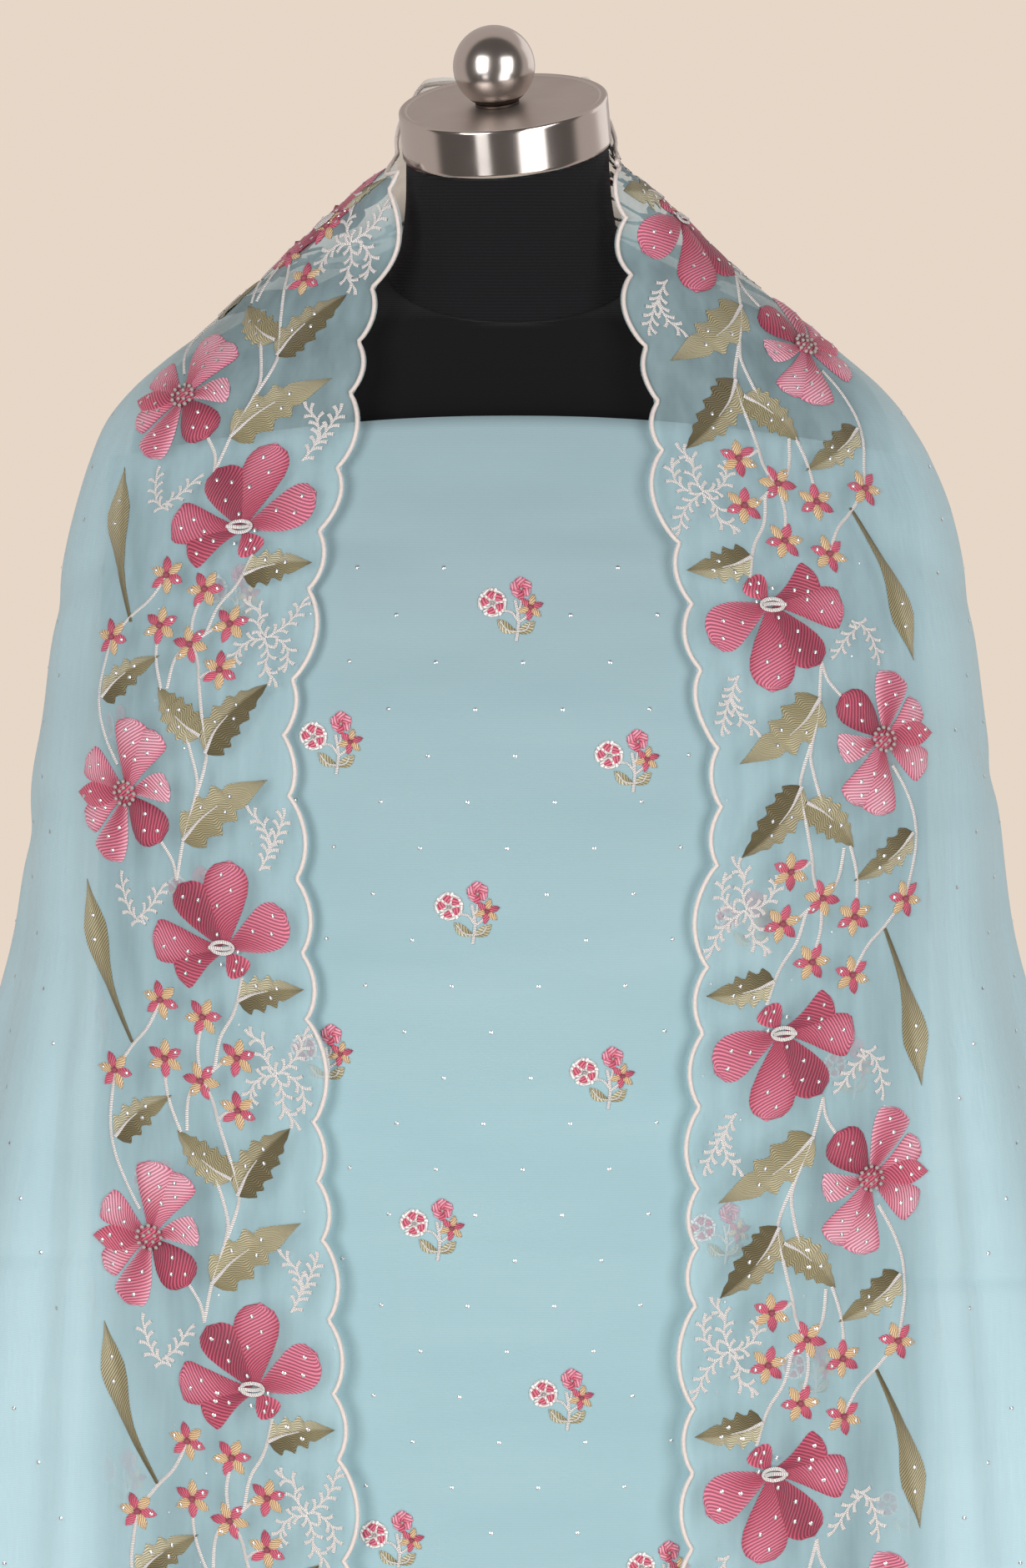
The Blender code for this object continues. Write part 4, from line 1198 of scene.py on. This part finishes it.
class Stitching:
    """A flat piece of embroidery in the making, with the spots where stones will be set."""

    def __init__(self):
        self.work = bmesh.new()
        layers = self.work.verts.layers
        self.thread = layers.float_color.new("thread")
        self.stitch = layers.float_vector.new("stitch")
        self.lever = layers.float_vector.new("lever")
        self.spots = []

    def patch(self, mesh, shape, colour, stitch, anchor):
        """A grid of points: a runs 0 to 1 along it and b -1 to 1 across it."""
        made = bmesh.ops.create_grid(self.work, x_segments=mesh[0], y_segments=mesh[1], size=1.0)
        reach = max(v.co.x for v in made["verts"])
        for vertex in made["verts"]:
            a, b = (vertex.co.x / reach + 1) / 2, vertex.co.y / reach
            vertex.co = Vector(shape(a, b)) * 0.001
            vertex[self.thread] = colour(a, b)
            vertex[self.stitch] = Vector(stitch(a, b)) * 0.001
            if anchor is not None:
                arm = vertex.co.xy - Vector(anchor) * 0.001
                vertex[self.lever] = (arm.x, arm.y, 0)

    def petal(
        self, base, tip, width, tones, anchor, edge, crown, bend=0.0, mesh=(6, 4), stones=(),
        split=False, cast=0.35, rib=1.25,
    ):
        """A petal or leaf.

        tones are its base, its tip and, if given, its rim or, if it is split, its other half.
        crown is its padding, and cast and rib say how slanting and how close the stitches lie.
        """
        base, tip = Vector(base), Vector(tip)
        axis = tip - base
        length = axis.length
        axis /= length
        side = Vector((-axis.y, axis.x))

        def half(a):
            return width / 2 * float(np.interp(a, edge[0], edge[1]))

        def shape(a, b):
            out = half(a) * b + bend * length * math.sin(math.pi * a)
            flat = base + axis * a * length + side * out
            round_up = (1 - b * b) ** 0.6 * max(math.sin(math.pi * min(a, 0.97)), 0.1) ** 0.5
            return (flat.x, flat.y, 0.35 + crown * round_up)

        def colour(a, b):
            if split and b > 0:
                return blend(tones[2], tones[1], a * 0.5)
            body = blend(tones[0], tones[1], ease(a * 1.2 - 0.1))
            if split or len(tones) < 3:
                return body
            rim = linear(tones[2])
            near = min(abs(b) ** 3, 1.0)
            return [c + (r - c) * near for c, r in zip(body, rim)]

        def stitch(a, b):
            return (a * length * rib, b * width * cast * rib, 0)

        anchor = anchor or tuple((base + tip) / 2)
        self.patch(mesh, shape, colour, stitch, anchor)
        self.spots += [(*shape(a, b), anchor) for a, b in stones]

    def cord(self, points, width, tone, steps=5, lift=0.3, taper=1.0, anchor=None):
        """A stem: a narrow ridged ribbon along a soft curve."""
        path = smooth_path(points, steps)
        length = sum((ahead - here).length for here, ahead in zip(path, path[1:]))

        def shape(a, b):
            spot = min(int(a * (len(path) - 1)), len(path) - 2)
            share = a * (len(path) - 1) - spot
            here = path[spot].lerp(path[spot + 1], share)
            ahead = (path[min(spot + 2, len(path) - 1)] - path[max(spot - 1, 0)]).normalized()
            flat = here + Vector((-ahead.y, ahead.x)) * b * width / 2 * (1 - (1 - taper) * a)
            return (flat.x, flat.y, lift + 0.45 * width * (1 - b * b))

        self.patch(
            (len(path) - 1, 2), shape, lambda a, b: linear(tone),
            lambda a, b: (a * length * 3.0, b * 0.5, 0), anchor,
        )

    def bead(self, spot, radius, tone, lift, anchor=None):
        spot = Vector(spot)
        anchor = Vector(anchor) if anchor else spot
        place = Matrix.Translation(Vector((spot.x, spot.y, lift)) * 0.001)
        made = bmesh.ops.create_icosphere(
            self.work, subdivisions=1, radius=radius * 0.001, matrix=place
        )
        for vertex in made["verts"]:
            vertex[self.thread] = linear(tone)
            arm = vertex.co.xy - anchor * 0.001
            vertex[self.lever] = (arm.x, arm.y, 0)

    def star(self, centre, size, turn, stones=True):
        """A small flower of six petals, rose and gold by turns."""
        centre = Vector(centre)
        for i in range(6):
            out = Vector(on_circle((0, 0), 1, math.radians(turn + 60 * i)))
            tone, end = (GOLD, GOLD) if i % 2 else (CORAL_PINK, CORAL if i else ROSE)
            self.petal(
                centre + out * size * 0.06, centre + out * size * 0.52, size * 0.27,
                (tone, end), tuple(centre), POINTED, 1.25, mesh=(5, 3), cast=0.7,
            )
            if stones and i in (1, 4):
                spot = centre + out * size * 0.36
                self.spots.append((spot.x, spot.y, 1.1, tuple(centre)))
        self.bead(centre, size * 0.1, CORAL, 1.1, tuple(centre))

    def fern(self, points):
        """A feathery twig: curled stitches on both sides of a stem by turns, and at its end."""
        def curl(here, forward, outward, width, taper):
            bow, tip = (
                here + (along * f + across * o) * FERN_REACH for f, o in zip(forward, outward)
            )
            self.cord((here, bow, tip), width, IVORY, 2, taper=taper)

        path = smooth_path(points, 12)
        self.cord(points, 1.3, IVORY, 4)
        walked, hand = 1.4, 1
        for here, ahead in zip(path, path[1:]):
            walked += (ahead - here).length
            along = (ahead - here).normalized()
            across = Vector((-along.y, along.x))
            if walked < FERN_STEP:
                continue
            walked = 0.0
            hand = -hand
            curl(here, (0.46, 0.70), (0.30 * hand, 0.76 * hand), 1.15, 1.9)
        curl(path[-1], (0.45, 0.90), (0.05 * hand, 0.25 * hand), 1.2, 1.8)


# %% [markdown]
# One repeat of the border, 235 mm long: a pale flower and a deep rose one, six leaves, seven
# small stars, three feathery twigs of two to five sprays and the stems that join them.

# %% One repeat of the border
PALE_FLOWER = (170.5, 96)
# tip x, tip y from the flower's centre, width, edge, base tone, tip tone, rim tone, bend
PALE_PETALS = (
    (4, -27.5, 16, FLARED, ROSE, LIGHT, LIGHT, 0.05),
    (-18.5, 29, 15, FLARED, CORAL, LIGHT, MID, -0.06),
    (33, -22.5, 18.5, FLARED, MID, LIGHT, MID, 0.05),
    (17.5, 27.5, 19.5, FLARED, ROSE, LIGHT, MID, 0),
    (40.5, -5, 21.5, FLARED, ROSE, LIGHT, MID, -0.03),
    (-36, 16.5, 20.5, FLARED, ROSE, MID, LIGHT, 0.03),
    (-1.5, 35, 16, BLADE, ROSE, CORAL, CORAL, 0.06), (-25, -20, 24, ROUND, DEEP, ROSE, DEEP, 0),
)
DEEP_FLOWER = (90.5, 43.5)
DEEP_PETALS = (
    (-13.5, -9.5, 15, ROUND, ROSE, ROSE, CORAL, 0),
    (-15.5, 28, 19.5, FLARED, DEEP, ROSE, ROSE, -0.10),
    (21.5, -35, 24, ROUND, ROSE, MID, MID, -0.08), (4.5, 41.5, 23, FLARED, ROSE, MID, ROSE, 0.04),
    (47.5, -6.5, 25, ROUND, ROSE, MID, ROSE, 0.04), (34, 24, 23, ROUND, DEEP, DEEP, ROSE, -0.04),
)
# base x, y, tip x, y, width, edge, tones; the sixth leaf is slender and has no vein
LEAVES = (
    (147, 63, 181, 12, 26, LOBED, (MOSS, SAGE, SAGE)),
    (194.5, 45.5, 231.5, 14, 22.5, JAGGED, (OLIVE, OLIVE, SAGE)),
    (203, 48, 228, 77, 21, JAGGED, (MOSS, MOSS, SAGE)),
    (-12.5, 114, 11.5, 79, 20, LOBED, (OLIVE, MOSS, PALE)),
    (63.5, 38, 70.5, 1.5, 21, LOBED, (OLIVE, MOSS, PALE)),
)
STAR_SIZE = 20.5
# x, y, turn
STARS = (
    (62, 82.5, 10), (54, 58.5, 34), (31, 81.5, 58), (23, 112.5, 20), (20, 61.5, 80),
    (33, 40.5, 46), (5, 42, 5),
)
FERNS = (
    ((133, 21), (141, 16), (149, 14.5), (157, 17), (162, 22)),
    ((142, 15.5), (151, 10), (160.5, 5.5)), ((101.5, 89), (106, 97), (114, 101), (124, 103)),
    ((105, 94), (111, 86), (121, 78.5)), ((25, 20), (15, 16.5), (7, 17), (0.5, 11.5)),
    ((26, 14.5), (18.5, 6.5), (10, 5.5)), ((24, 19), (23.5, 27), (18, 33), (12, 34.5)),
    ((25, 19), (32, 10.5), (39, 5.5), (46, 3)), ((25, 19), (33, 25), (41, 25), (44.5, 31)),
)
STEMS = (
    ((126, 68.5), (136.5, 70.5), (147, 77)),
    ((127, 68.5), (147, 63), (166, 55.5), (187, 46.5), (199, 45), (218.5, 49.5),
     (234, 53.5), (244, 55.5), (255, 60)),
    ((167, 55), (178.5, 52), (190.5, 53.5), (204, 57)),
    ((185, 101), (199, 109), (214, 115), (229.5, 117), (246, 115), (258, 112.5)),
    ((-7, 71.5), (6, 70.5), (14, 68), (20, 61.5)), ((-8, 75), (6, 80), (18, 82), (31, 81.5)),
    ((33, 40.5), (32, 47), (28, 52), (20, 61.5)), ((20, 61.5), (37, 62.5), (54, 58.5)),
    ((27, 53.5), (43, 49.5), (55, 42), (65, 38), (76, 35)),
    ((23, 112.5), (37, 101), (47, 91), (62, 82.5)), ((0, 53), (3, 49), (5, 42)),
)

border = Stitching()
for path in STEMS:
    border.cord(path, 1.9, IVORY, lift=0.1)
for bx, by, tx, ty, width, edge, tones in LEAVES:
    base, tip = Vector((bx, by)), Vector((tx, ty))
    middle = tuple((base + tip) / 2)
    border.petal(
        base, tip, width, tones, middle, edge, 0.9, 0.05, (44, 6),
        ((0.33, 0.45), (0.5, -0.4), (0.62, 0.2)), True, 0.6, 1.3,
    )
    bow = Vector((ty - by, bx - tx)) * -0.055
    vein = (base, base.lerp(tip, 0.25) + bow, base.lerp(tip, 0.48) + bow * 1.2)
    border.cord(vein, 2.1, IVORY, 5, 0.9, 0.35, middle)
border.petal(
    (124.0, 127.0), (38.0, 101.0), 16, (SAGE, OLIVE, MOSS), (81, 114), SLENDER, 0.8, -0.05,
    (22, 4), ((0.22, 0.1), (0.36, -0.2)), True, 0.4, 1.4,
)

for (cx, cy), petals, ring in ((PALE_FLOWER, PALE_PETALS, 6.3), (DEEP_FLOWER, DEEP_PETALS, 0)):
    for layer, (dx, dy, width, edge, base, tip, rim, bend) in enumerate(petals):
        out = Vector((dx, dy)).normalized() * 2.5
        border.petal(
            (cx + out.x, cy + out.y), (cx + dx, cy + dy), width, (base, tip, rim), (cx, cy), edge,
            1.3 + 0.14 * layer, bend, (14, 8), ((0.45, 0.3), (0.66, -0.3), (0.82, 0.25)),
        )
    if ring:  # a disc with a ring of twelve beads and one of five
        border.petal(
            (cx - ring, cy), (cx + ring, cy), 2 * ring, (ROSE, CORAL), (cx, cy), DISC, 1.9,
            mesh=(8, 8),
        )
        for beads, radius, size in ((12, ring, 1.2), (5, 2.9, 1.15)):
            for i in range(beads):
                spot = on_circle((cx, cy), radius, math.tau * i / beads)
                border.bead(spot, size, IVORY, 2.7, (cx, cy))
    else:  # a loop of cord with a bar across it
        loop = [on_circle((cx + 1, cy + 1), 3.2, math.tau * i / 8, 6.2 / 3.2) for i in range(9)]
        border.cord(loop, 2.0, IVORY, 3, 1.9, anchor=(cx, cy))
        bar = ((cx + 1.5, cy - 4.5), (cx + 0.5, cy), (cx + 1.0, cy + 8.5))
        border.cord(bar, 2.0, IVORY, 3, 2.3, anchor=(cx, cy))
        for x, y in ((8, 3), (-1, -8), (-8, 2)):
            border.spots.append((cx + x, cy + y, 2.2, (cx, cy)))
for x, y, turn in STARS:
    border.star((x, y), STAR_SIZE, turn)
for path in FERNS:
    border.fern(path)
print(f"one repeat: {len(border.work.faces)} faces, {len(border.spots)} stones")


# %% [markdown]
# Copies of the repeat make a flat band as long as its edge.  The band's ends are cut square,
# and then the band is laid on its strip.  Stones are set on it in the same way.

# %% The bands of embroidery
def copies(sewn, shifts):
    """Copies of a piece of embroidery, one for each shift."""
    work = sewn.work.copy()
    source = work.verts[:] + work.edges[:] + work.faces[:]
    first = work.verts[:]
    for shift in shifts[1:]:
        made = bmesh.ops.duplicate(work, geom=source)
        copied = [g for g in made["geom"] if isinstance(g, bmesh.types.BMVert)]
        bmesh.ops.translate(work, vec=shift, verts=copied)
    bmesh.ops.translate(work, vec=shifts[0], verts=first)
    return work


def flat_band(first, count, start, end):
    """Repeats of the border side by side, cut at both ends."""
    work = copies(border, [(REPEAT * i, 0, 0) for i in range(count)])
    bmesh.ops.translate(work, vec=(first, 0, 0), verts=work.verts[:])
    for where, way in ((start, -1), (end, 1)):
        bmesh.ops.bisect_plane(
            work, geom=work.verts[:] + work.edges[:] + work.faces[:], plane_co=(where, 0, 0),
            plane_no=(way, 0, 0), clear_outer=True,
        )
    return work


STONE, CROWN = 0.0011, 0.00030  # radius and height


def cut_stone(work, radius, matrix):
    """An eight-sided stone with a small flat top."""
    return bmesh.ops.create_cone(
        work, cap_ends=True, cap_tris=False, segments=8, radius1=radius, radius2=radius * 0.3,
        depth=CROWN, matrix=matrix,
    )["verts"]


def stone_work(spots, radius=STONE):
    """Stones, each at x, y, z with its anchor, all in metres."""
    work = bmesh.new()
    lever = work.verts.layers.float_vector.new("lever")
    for (x, y, z), (ax, ay) in spots:
        for vertex in cut_stone(work, radius, Matrix.Translation((x, y, z + 0.0004))):
            vertex[lever] = (vertex.co.x - ax, vertex.co.y - ay, 0)
    return work


def band_stones(first, count, start, end):
    made = []
    for i in range(count):
        shift = first + REPEAT * i
        for x, y, z, (ax, ay) in border.spots:
            if start < x * 0.001 + shift < end:
                made.append(((x * 0.001 + shift, y * 0.001, z * 0.001),
                             (ax * 0.001 + shift, ay * 0.001)))
    return stone_work(made)


TRIM = 0.005
MARGIN = 0.03  # motifs reach this far out of their own repeat
first = -INNER_PHASE - 4 * REPEAT
while first > INNER_START + MARGIN:
    first -= REPEAT
count = math.ceil((INNER_END + MARGIN - first) / REPEAT)
inner = (first, count, INNER_START + TRIM, INNER_END - TRIM)
# Behind the neck the cloth's other side shows, where the same threads come through.
near = first + REPEAT * math.floor((-1.4 * NECK_HALF - MARGIN - first) / REPEAT)
reverse = flat_band(near, 3, -1.4 * NECK_HALF, 1.4 * NECK_HALF)
bmesh.ops.scale(reverse, vec=(1, 1, -0.5), verts=reverse.verts[:])
CLEAR = 0.145  # the hem's border stops short of the fronts' borders
outer = (0, HEM_REPEATS, CLEAR, HEM_REPEATS * REPEAT - CLEAR)
for name, work, finish, smooth, strip in (
    ("border_inner", flat_band(*inner), thread, 180, inner_strip),
    ("border_inner_stones", band_stones(*inner), crystal, 20, inner_strip),
    ("border_reverse", reverse, thread, 180, inner_strip),
    ("border_hem", flat_band(*outer), thread, 180, hem_strip),
    ("border_hem_stones", band_stones(*outer), crystal, 20, hem_strip),
):
    piece = new_piece(name, work, finish, smooth)
    strip.lay(piece)
    in_frame(piece, "dupatta", stands_for=False)
border.work.free()

# %% [markdown]
# A buttonhole cord edges the dupatta all round, a little inside the cut.

# %% The edge cord
CORD_RADIUS, CORD_INSET, CORD_STEP = 0.00125, 0.0016, 0.0021


def tube(name, line, up, radius, finish):
    """A cord along a line of points."""
    piece = flat_grid(name, len(line) - 1, 6, finish)
    flat = points_of(piece)
    spot = (flat[:, 0] + 1) / 2 * (len(line) - 1)
    turn = flat[:, 1] * np.pi
    along = unit(np.gradient(line, axis=0))
    side = unit(np.cross(along, up))
    over = np.cross(side, along)
    index = np.clip(np.round(spot).astype(int), 0, len(line) - 1)
    ring = side[index] * np.cos(turn)[:, None] + over[index] * np.sin(turn)[:, None]
    move_points(piece, line[index] + ring * radius)
    work = bmesh.new()
    work.from_mesh(piece.data)
    bmesh.ops.remove_doubles(work, verts=work.verts[:], dist=0.000001)
    bmesh.ops.recalc_face_normals(work, faces=work.faces[:])
    work.to_mesh(piece.data)
    work.free()
    piece.data.shade_smooth()
    return piece


def edge_line(strip, phase, start, end):
    """The scalloped edge of a strip, a little inside the cut, and the cloth's normals there."""
    along = np.linspace(start, end, int((end - start) / CORD_STEP))
    out = CORD_INSET - scallop(along + phase)
    line = strip.read(strip.points, along, out)
    normal = strip.read(strip.normals, along, np.maximum(out, 0))
    return line + normal * 0.0004, normal


for name, strip, phase in (
    ("edge_cord_inner", inner_strip, INNER_PHASE), ("edge_cord_hem", hem_strip, 0.0)
):
    line, normal = edge_line(strip, phase, strip.start + 0.001, strip.end - 0.001)
    cord = tube(name, line, normal, CORD_RADIUS, ivory_thread)
    in_frame(cord, "dupatta", stands_for=False)

# %% [markdown]
# ## The kameez's sprigs
#
# Small sprigs lie on a slanted lattice over the kameez, with tiny stones between them.  The
# visible ones are placed one by one; the lattice goes on over the sides and the back.

# %% One sprig
sprig = Stitching()
for path, width in (
    (((3.0, -18.0), (4.2, -7.5), (2.5, 3.0)), 1.7),
    (((4.0, -7.5), (0.5, -3.0), (-4.0, -2.0)), 1.3),
    (((3.5, -5.0), (5.0, -0.5), (5.6, 3.0)), 1.3),
    (((4.0, -8.5), (8.0, -5.5), (10.0, -3.0)), 1.3),
):
    sprig.cord(path, width, IVORY, 4)
PANSY, ROSETTE, LITTLE_STAR = Vector((-9.4, 1.6)), Vector((5.6, 8.8)), (10.6, -0.6)
for turn, reach in ((104, 8.0), (40, 7.6), (-28, 7.6), (-100, 7.4), (172, 8.0)):
    out = Vector(on_circle((0, 0), 1, math.radians(turn)))
    sprig.petal(
        PANSY + out * 0.8, PANSY + out * reach, 8.6, (IVORY, IVORY), None, ROUND, 0.35,
        mesh=(7, 4),
    )
    sprig.petal(
        PANSY + out * 1.8, PANSY + out * (reach - 1.4), 5.8, (CORAL, CORAL_PINK), None, ROUND,
        0.95,
    )
sprig.bead(tuple(PANSY), 1.0, IVORY, 1.2)
for turn, reach, wide in (
    (96, 6.6, 5.6), (36, 6.2, 5.4), (156, 6.2, 5.4), (-24, 5.4, 5.0), (214, 5.4, 5.0)
):
    out = Vector(on_circle((0, 0), 1, math.radians(turn)))
    sprig.petal(
        ROSETTE + out * 0.4, ROSETTE + out * reach, wide, (CORAL, LIGHT, CORAL_PINK), None,
        ROUND, 0.8,
    )
sprig.petal(
    ROSETTE, ROSETTE + Vector((-1.0, -5.4)), 4.4, (ROSE, CORAL), None, ROUND, 0.8, mesh=(5, 3)
)
sprig.bead(tuple(ROSETTE), 0.9, IVORY, 1.2)
sprig.star(LITTLE_STAR, 13.5, 18, stones=False)
for x, y, hand in ((-6.8, -6.6, 1), (12.8, -7.6, -1)):
    sprig.petal(
        (3.2, -13.5), (x, y), 5.6, (MOSS, SAGE, PALE), None, BLADE, 0.7, 0.10 * hand, (8, 4),
        (), True, 0.4, 1.4,
    )
    vein = ((3.4, -13.2), ((3.4 + x) / 2, -12.2), (x * 0.8, y - 1.2))
    sprig.cord(vein, 0.8, IVORY, 3, 1.2)

# Their middles, in metres: to the right from the front's middle, and up from the floor.
SEEN_SPRIGS = (
    (-0.0013, 1.289), (-0.0964, 1.219), (0.0600, 1.210), (-0.0242, 1.130), (-0.1022, 1.053),
    (0.0472, 1.042), (-0.0429, 0.961), (0.1106, 0.957), (0.0257, 0.870), (-0.0645, 0.793),
    (0.0779, 0.776),
)
STEP_ONE, STEP_TWO = Vector((0.0630, -0.0830)), Vector((-0.0880, -0.0775))
HALF_ROUND, SPRIG_LOW, SPRIG_HIGH = 0.56, 0.45, 1.325  # as far as the lattice goes
SPRIG_APART = 0.075
sprig_spots = list(SEEN_SPRIGS)
for i in range(-14, 15):
    for j in range(-14, 15):
        x, z = Vector(SEEN_SPRIGS[0]) + STEP_ONE * i + STEP_TWO * j
        if abs(x) > HALF_ROUND or not SPRIG_LOW < z < SPRIG_HIGH:
            continue
        if all((Vector((x, z)) - Vector(spot)).length > SPRIG_APART for spot in sprig_spots):
            sprig_spots.append((x, z))
print(f"one sprig: {len(sprig.work.faces)} faces, {len(sprig_spots)} of them")


# %% Sprigs and stones on the kameez
LIFT = 0.0005  # clear of half the cloth's wall


def lay_on_kameez(piece):
    """Moves a flat piece: x to the right of the front's middle, y the height."""
    flat = points_of(piece)
    anchor = flat - points_of(piece, "lever")
    cloth = kameez_cloth
    place = (anchor[:, 1] - cloth.heights[0]) / (cloth.heights[1] - cloth.heights[0])
    row = np.clip(np.round(place).astype(int), 0, len(cloth.heights) - 1)
    angle = np.empty(len(flat))
    for one in np.unique(row):
        mine = row == one
        angle[mine] = np.interp(-flat[mine, 0], cloth.walked[one], cloth.angles)
    height = flat[:, 1]
    here = cloth.at(angle, height)
    by_angle = cloth.at(angle + FEEL, height) - cloth.at(angle - FEEL, height)
    by_height = cloth.at(angle, height + FEEL) - cloth.at(angle, height - FEEL)
    normal = normal_of(by_angle, by_height, here)
    move_points(piece, here + normal * (flat[:, 2:] + LIFT))


for vertex in sprig.work.verts:  # each sprig is laid stiff, from its own middle
    vertex[sprig.lever] = (vertex.co.x, vertex.co.y, 0)
sprigs = new_piece("kameez_sprigs", copies(sprig, [(x, z, 0) for x, z in sprig_spots]), thread)
sprig.work.free()

# The stones' lattice: its top, its steps down and across, and how its rows slant.
TOP, DOWN, ACROSS, SHIFT, SLANT = 1.3089, 0.0244, 0.0459, 0.0095, 0.0021
spots = []
for row in range(36):
    z = TOP - DOWN * row
    for column_at in range(-12, 15):
        x = ACROSS * (column_at + 0.5 * (row % 2)) + SHIFT - SLANT * row
        if all(abs(x - sx) > 0.021 or abs(z - sz) > 0.023 for sx, sz in sprig_spots):
            spots.append(((x, z, 0.0), (x, z)))
kameez_stones = new_piece("kameez_stones", stone_work(spots, 0.0010), crystal, 20)
for piece in (sprigs, kameez_stones):
    lay_on_kameez(piece)
    in_frame(piece, "kameez_cloth", stands_for=False)

# %% [markdown]
# The dupatta's ground, inside its border, has stones too, wider apart.

# %% Stones on the dupatta's ground
GROUND_CLEAR = 0.150  # the border's width and a little more
TOP, DOWN, ACROSS = 1.47, 0.028, 0.052
spots = []
for row in range(37):
    z = TOP - DOWN * row
    half = {side: float(np.interp(z, NET_HEIGHTS, HALF_LENGTH[side])) for side in (-1, 1)}
    for column_at in range(-20, 21):
        x = ACROSS * (column_at + 0.5 * (row % 2))
        side = -1 if x < 0 else 1
        place = x / half[side]
        edge = (1 - abs(place)) * half[side]
        top, hem = float(upper_edge(np.array(place))), float(lower_edge(np.array(place)))
        if edge > GROUND_CLEAR and hem + GROUND_CLEAR < z < top - GROUND_CLEAR:
            spots.append((place, z))
e = 0.003  # a step to each side, for the slopes
p, z = np.array(spots).T
here = from_net(p, z)
by_place = from_net(p + e, z) - from_net(p - e, z)
by_height = from_net(p, z + e) - from_net(p, z - e)
work = bmesh.new()
for spot, up in zip(here, normal_of(by_place, by_height, here)):
    lean = Vector((0, 0, 1)).rotation_difference(Vector(up)).to_matrix().to_4x4()
    cut_stone(work, STONE, Matrix.Translation(Vector(spot) + Vector(up) * LIFT) @ lean)
in_frame(new_piece("dupatta_stones", work, crystal, 20), "dupatta", stands_for=False)
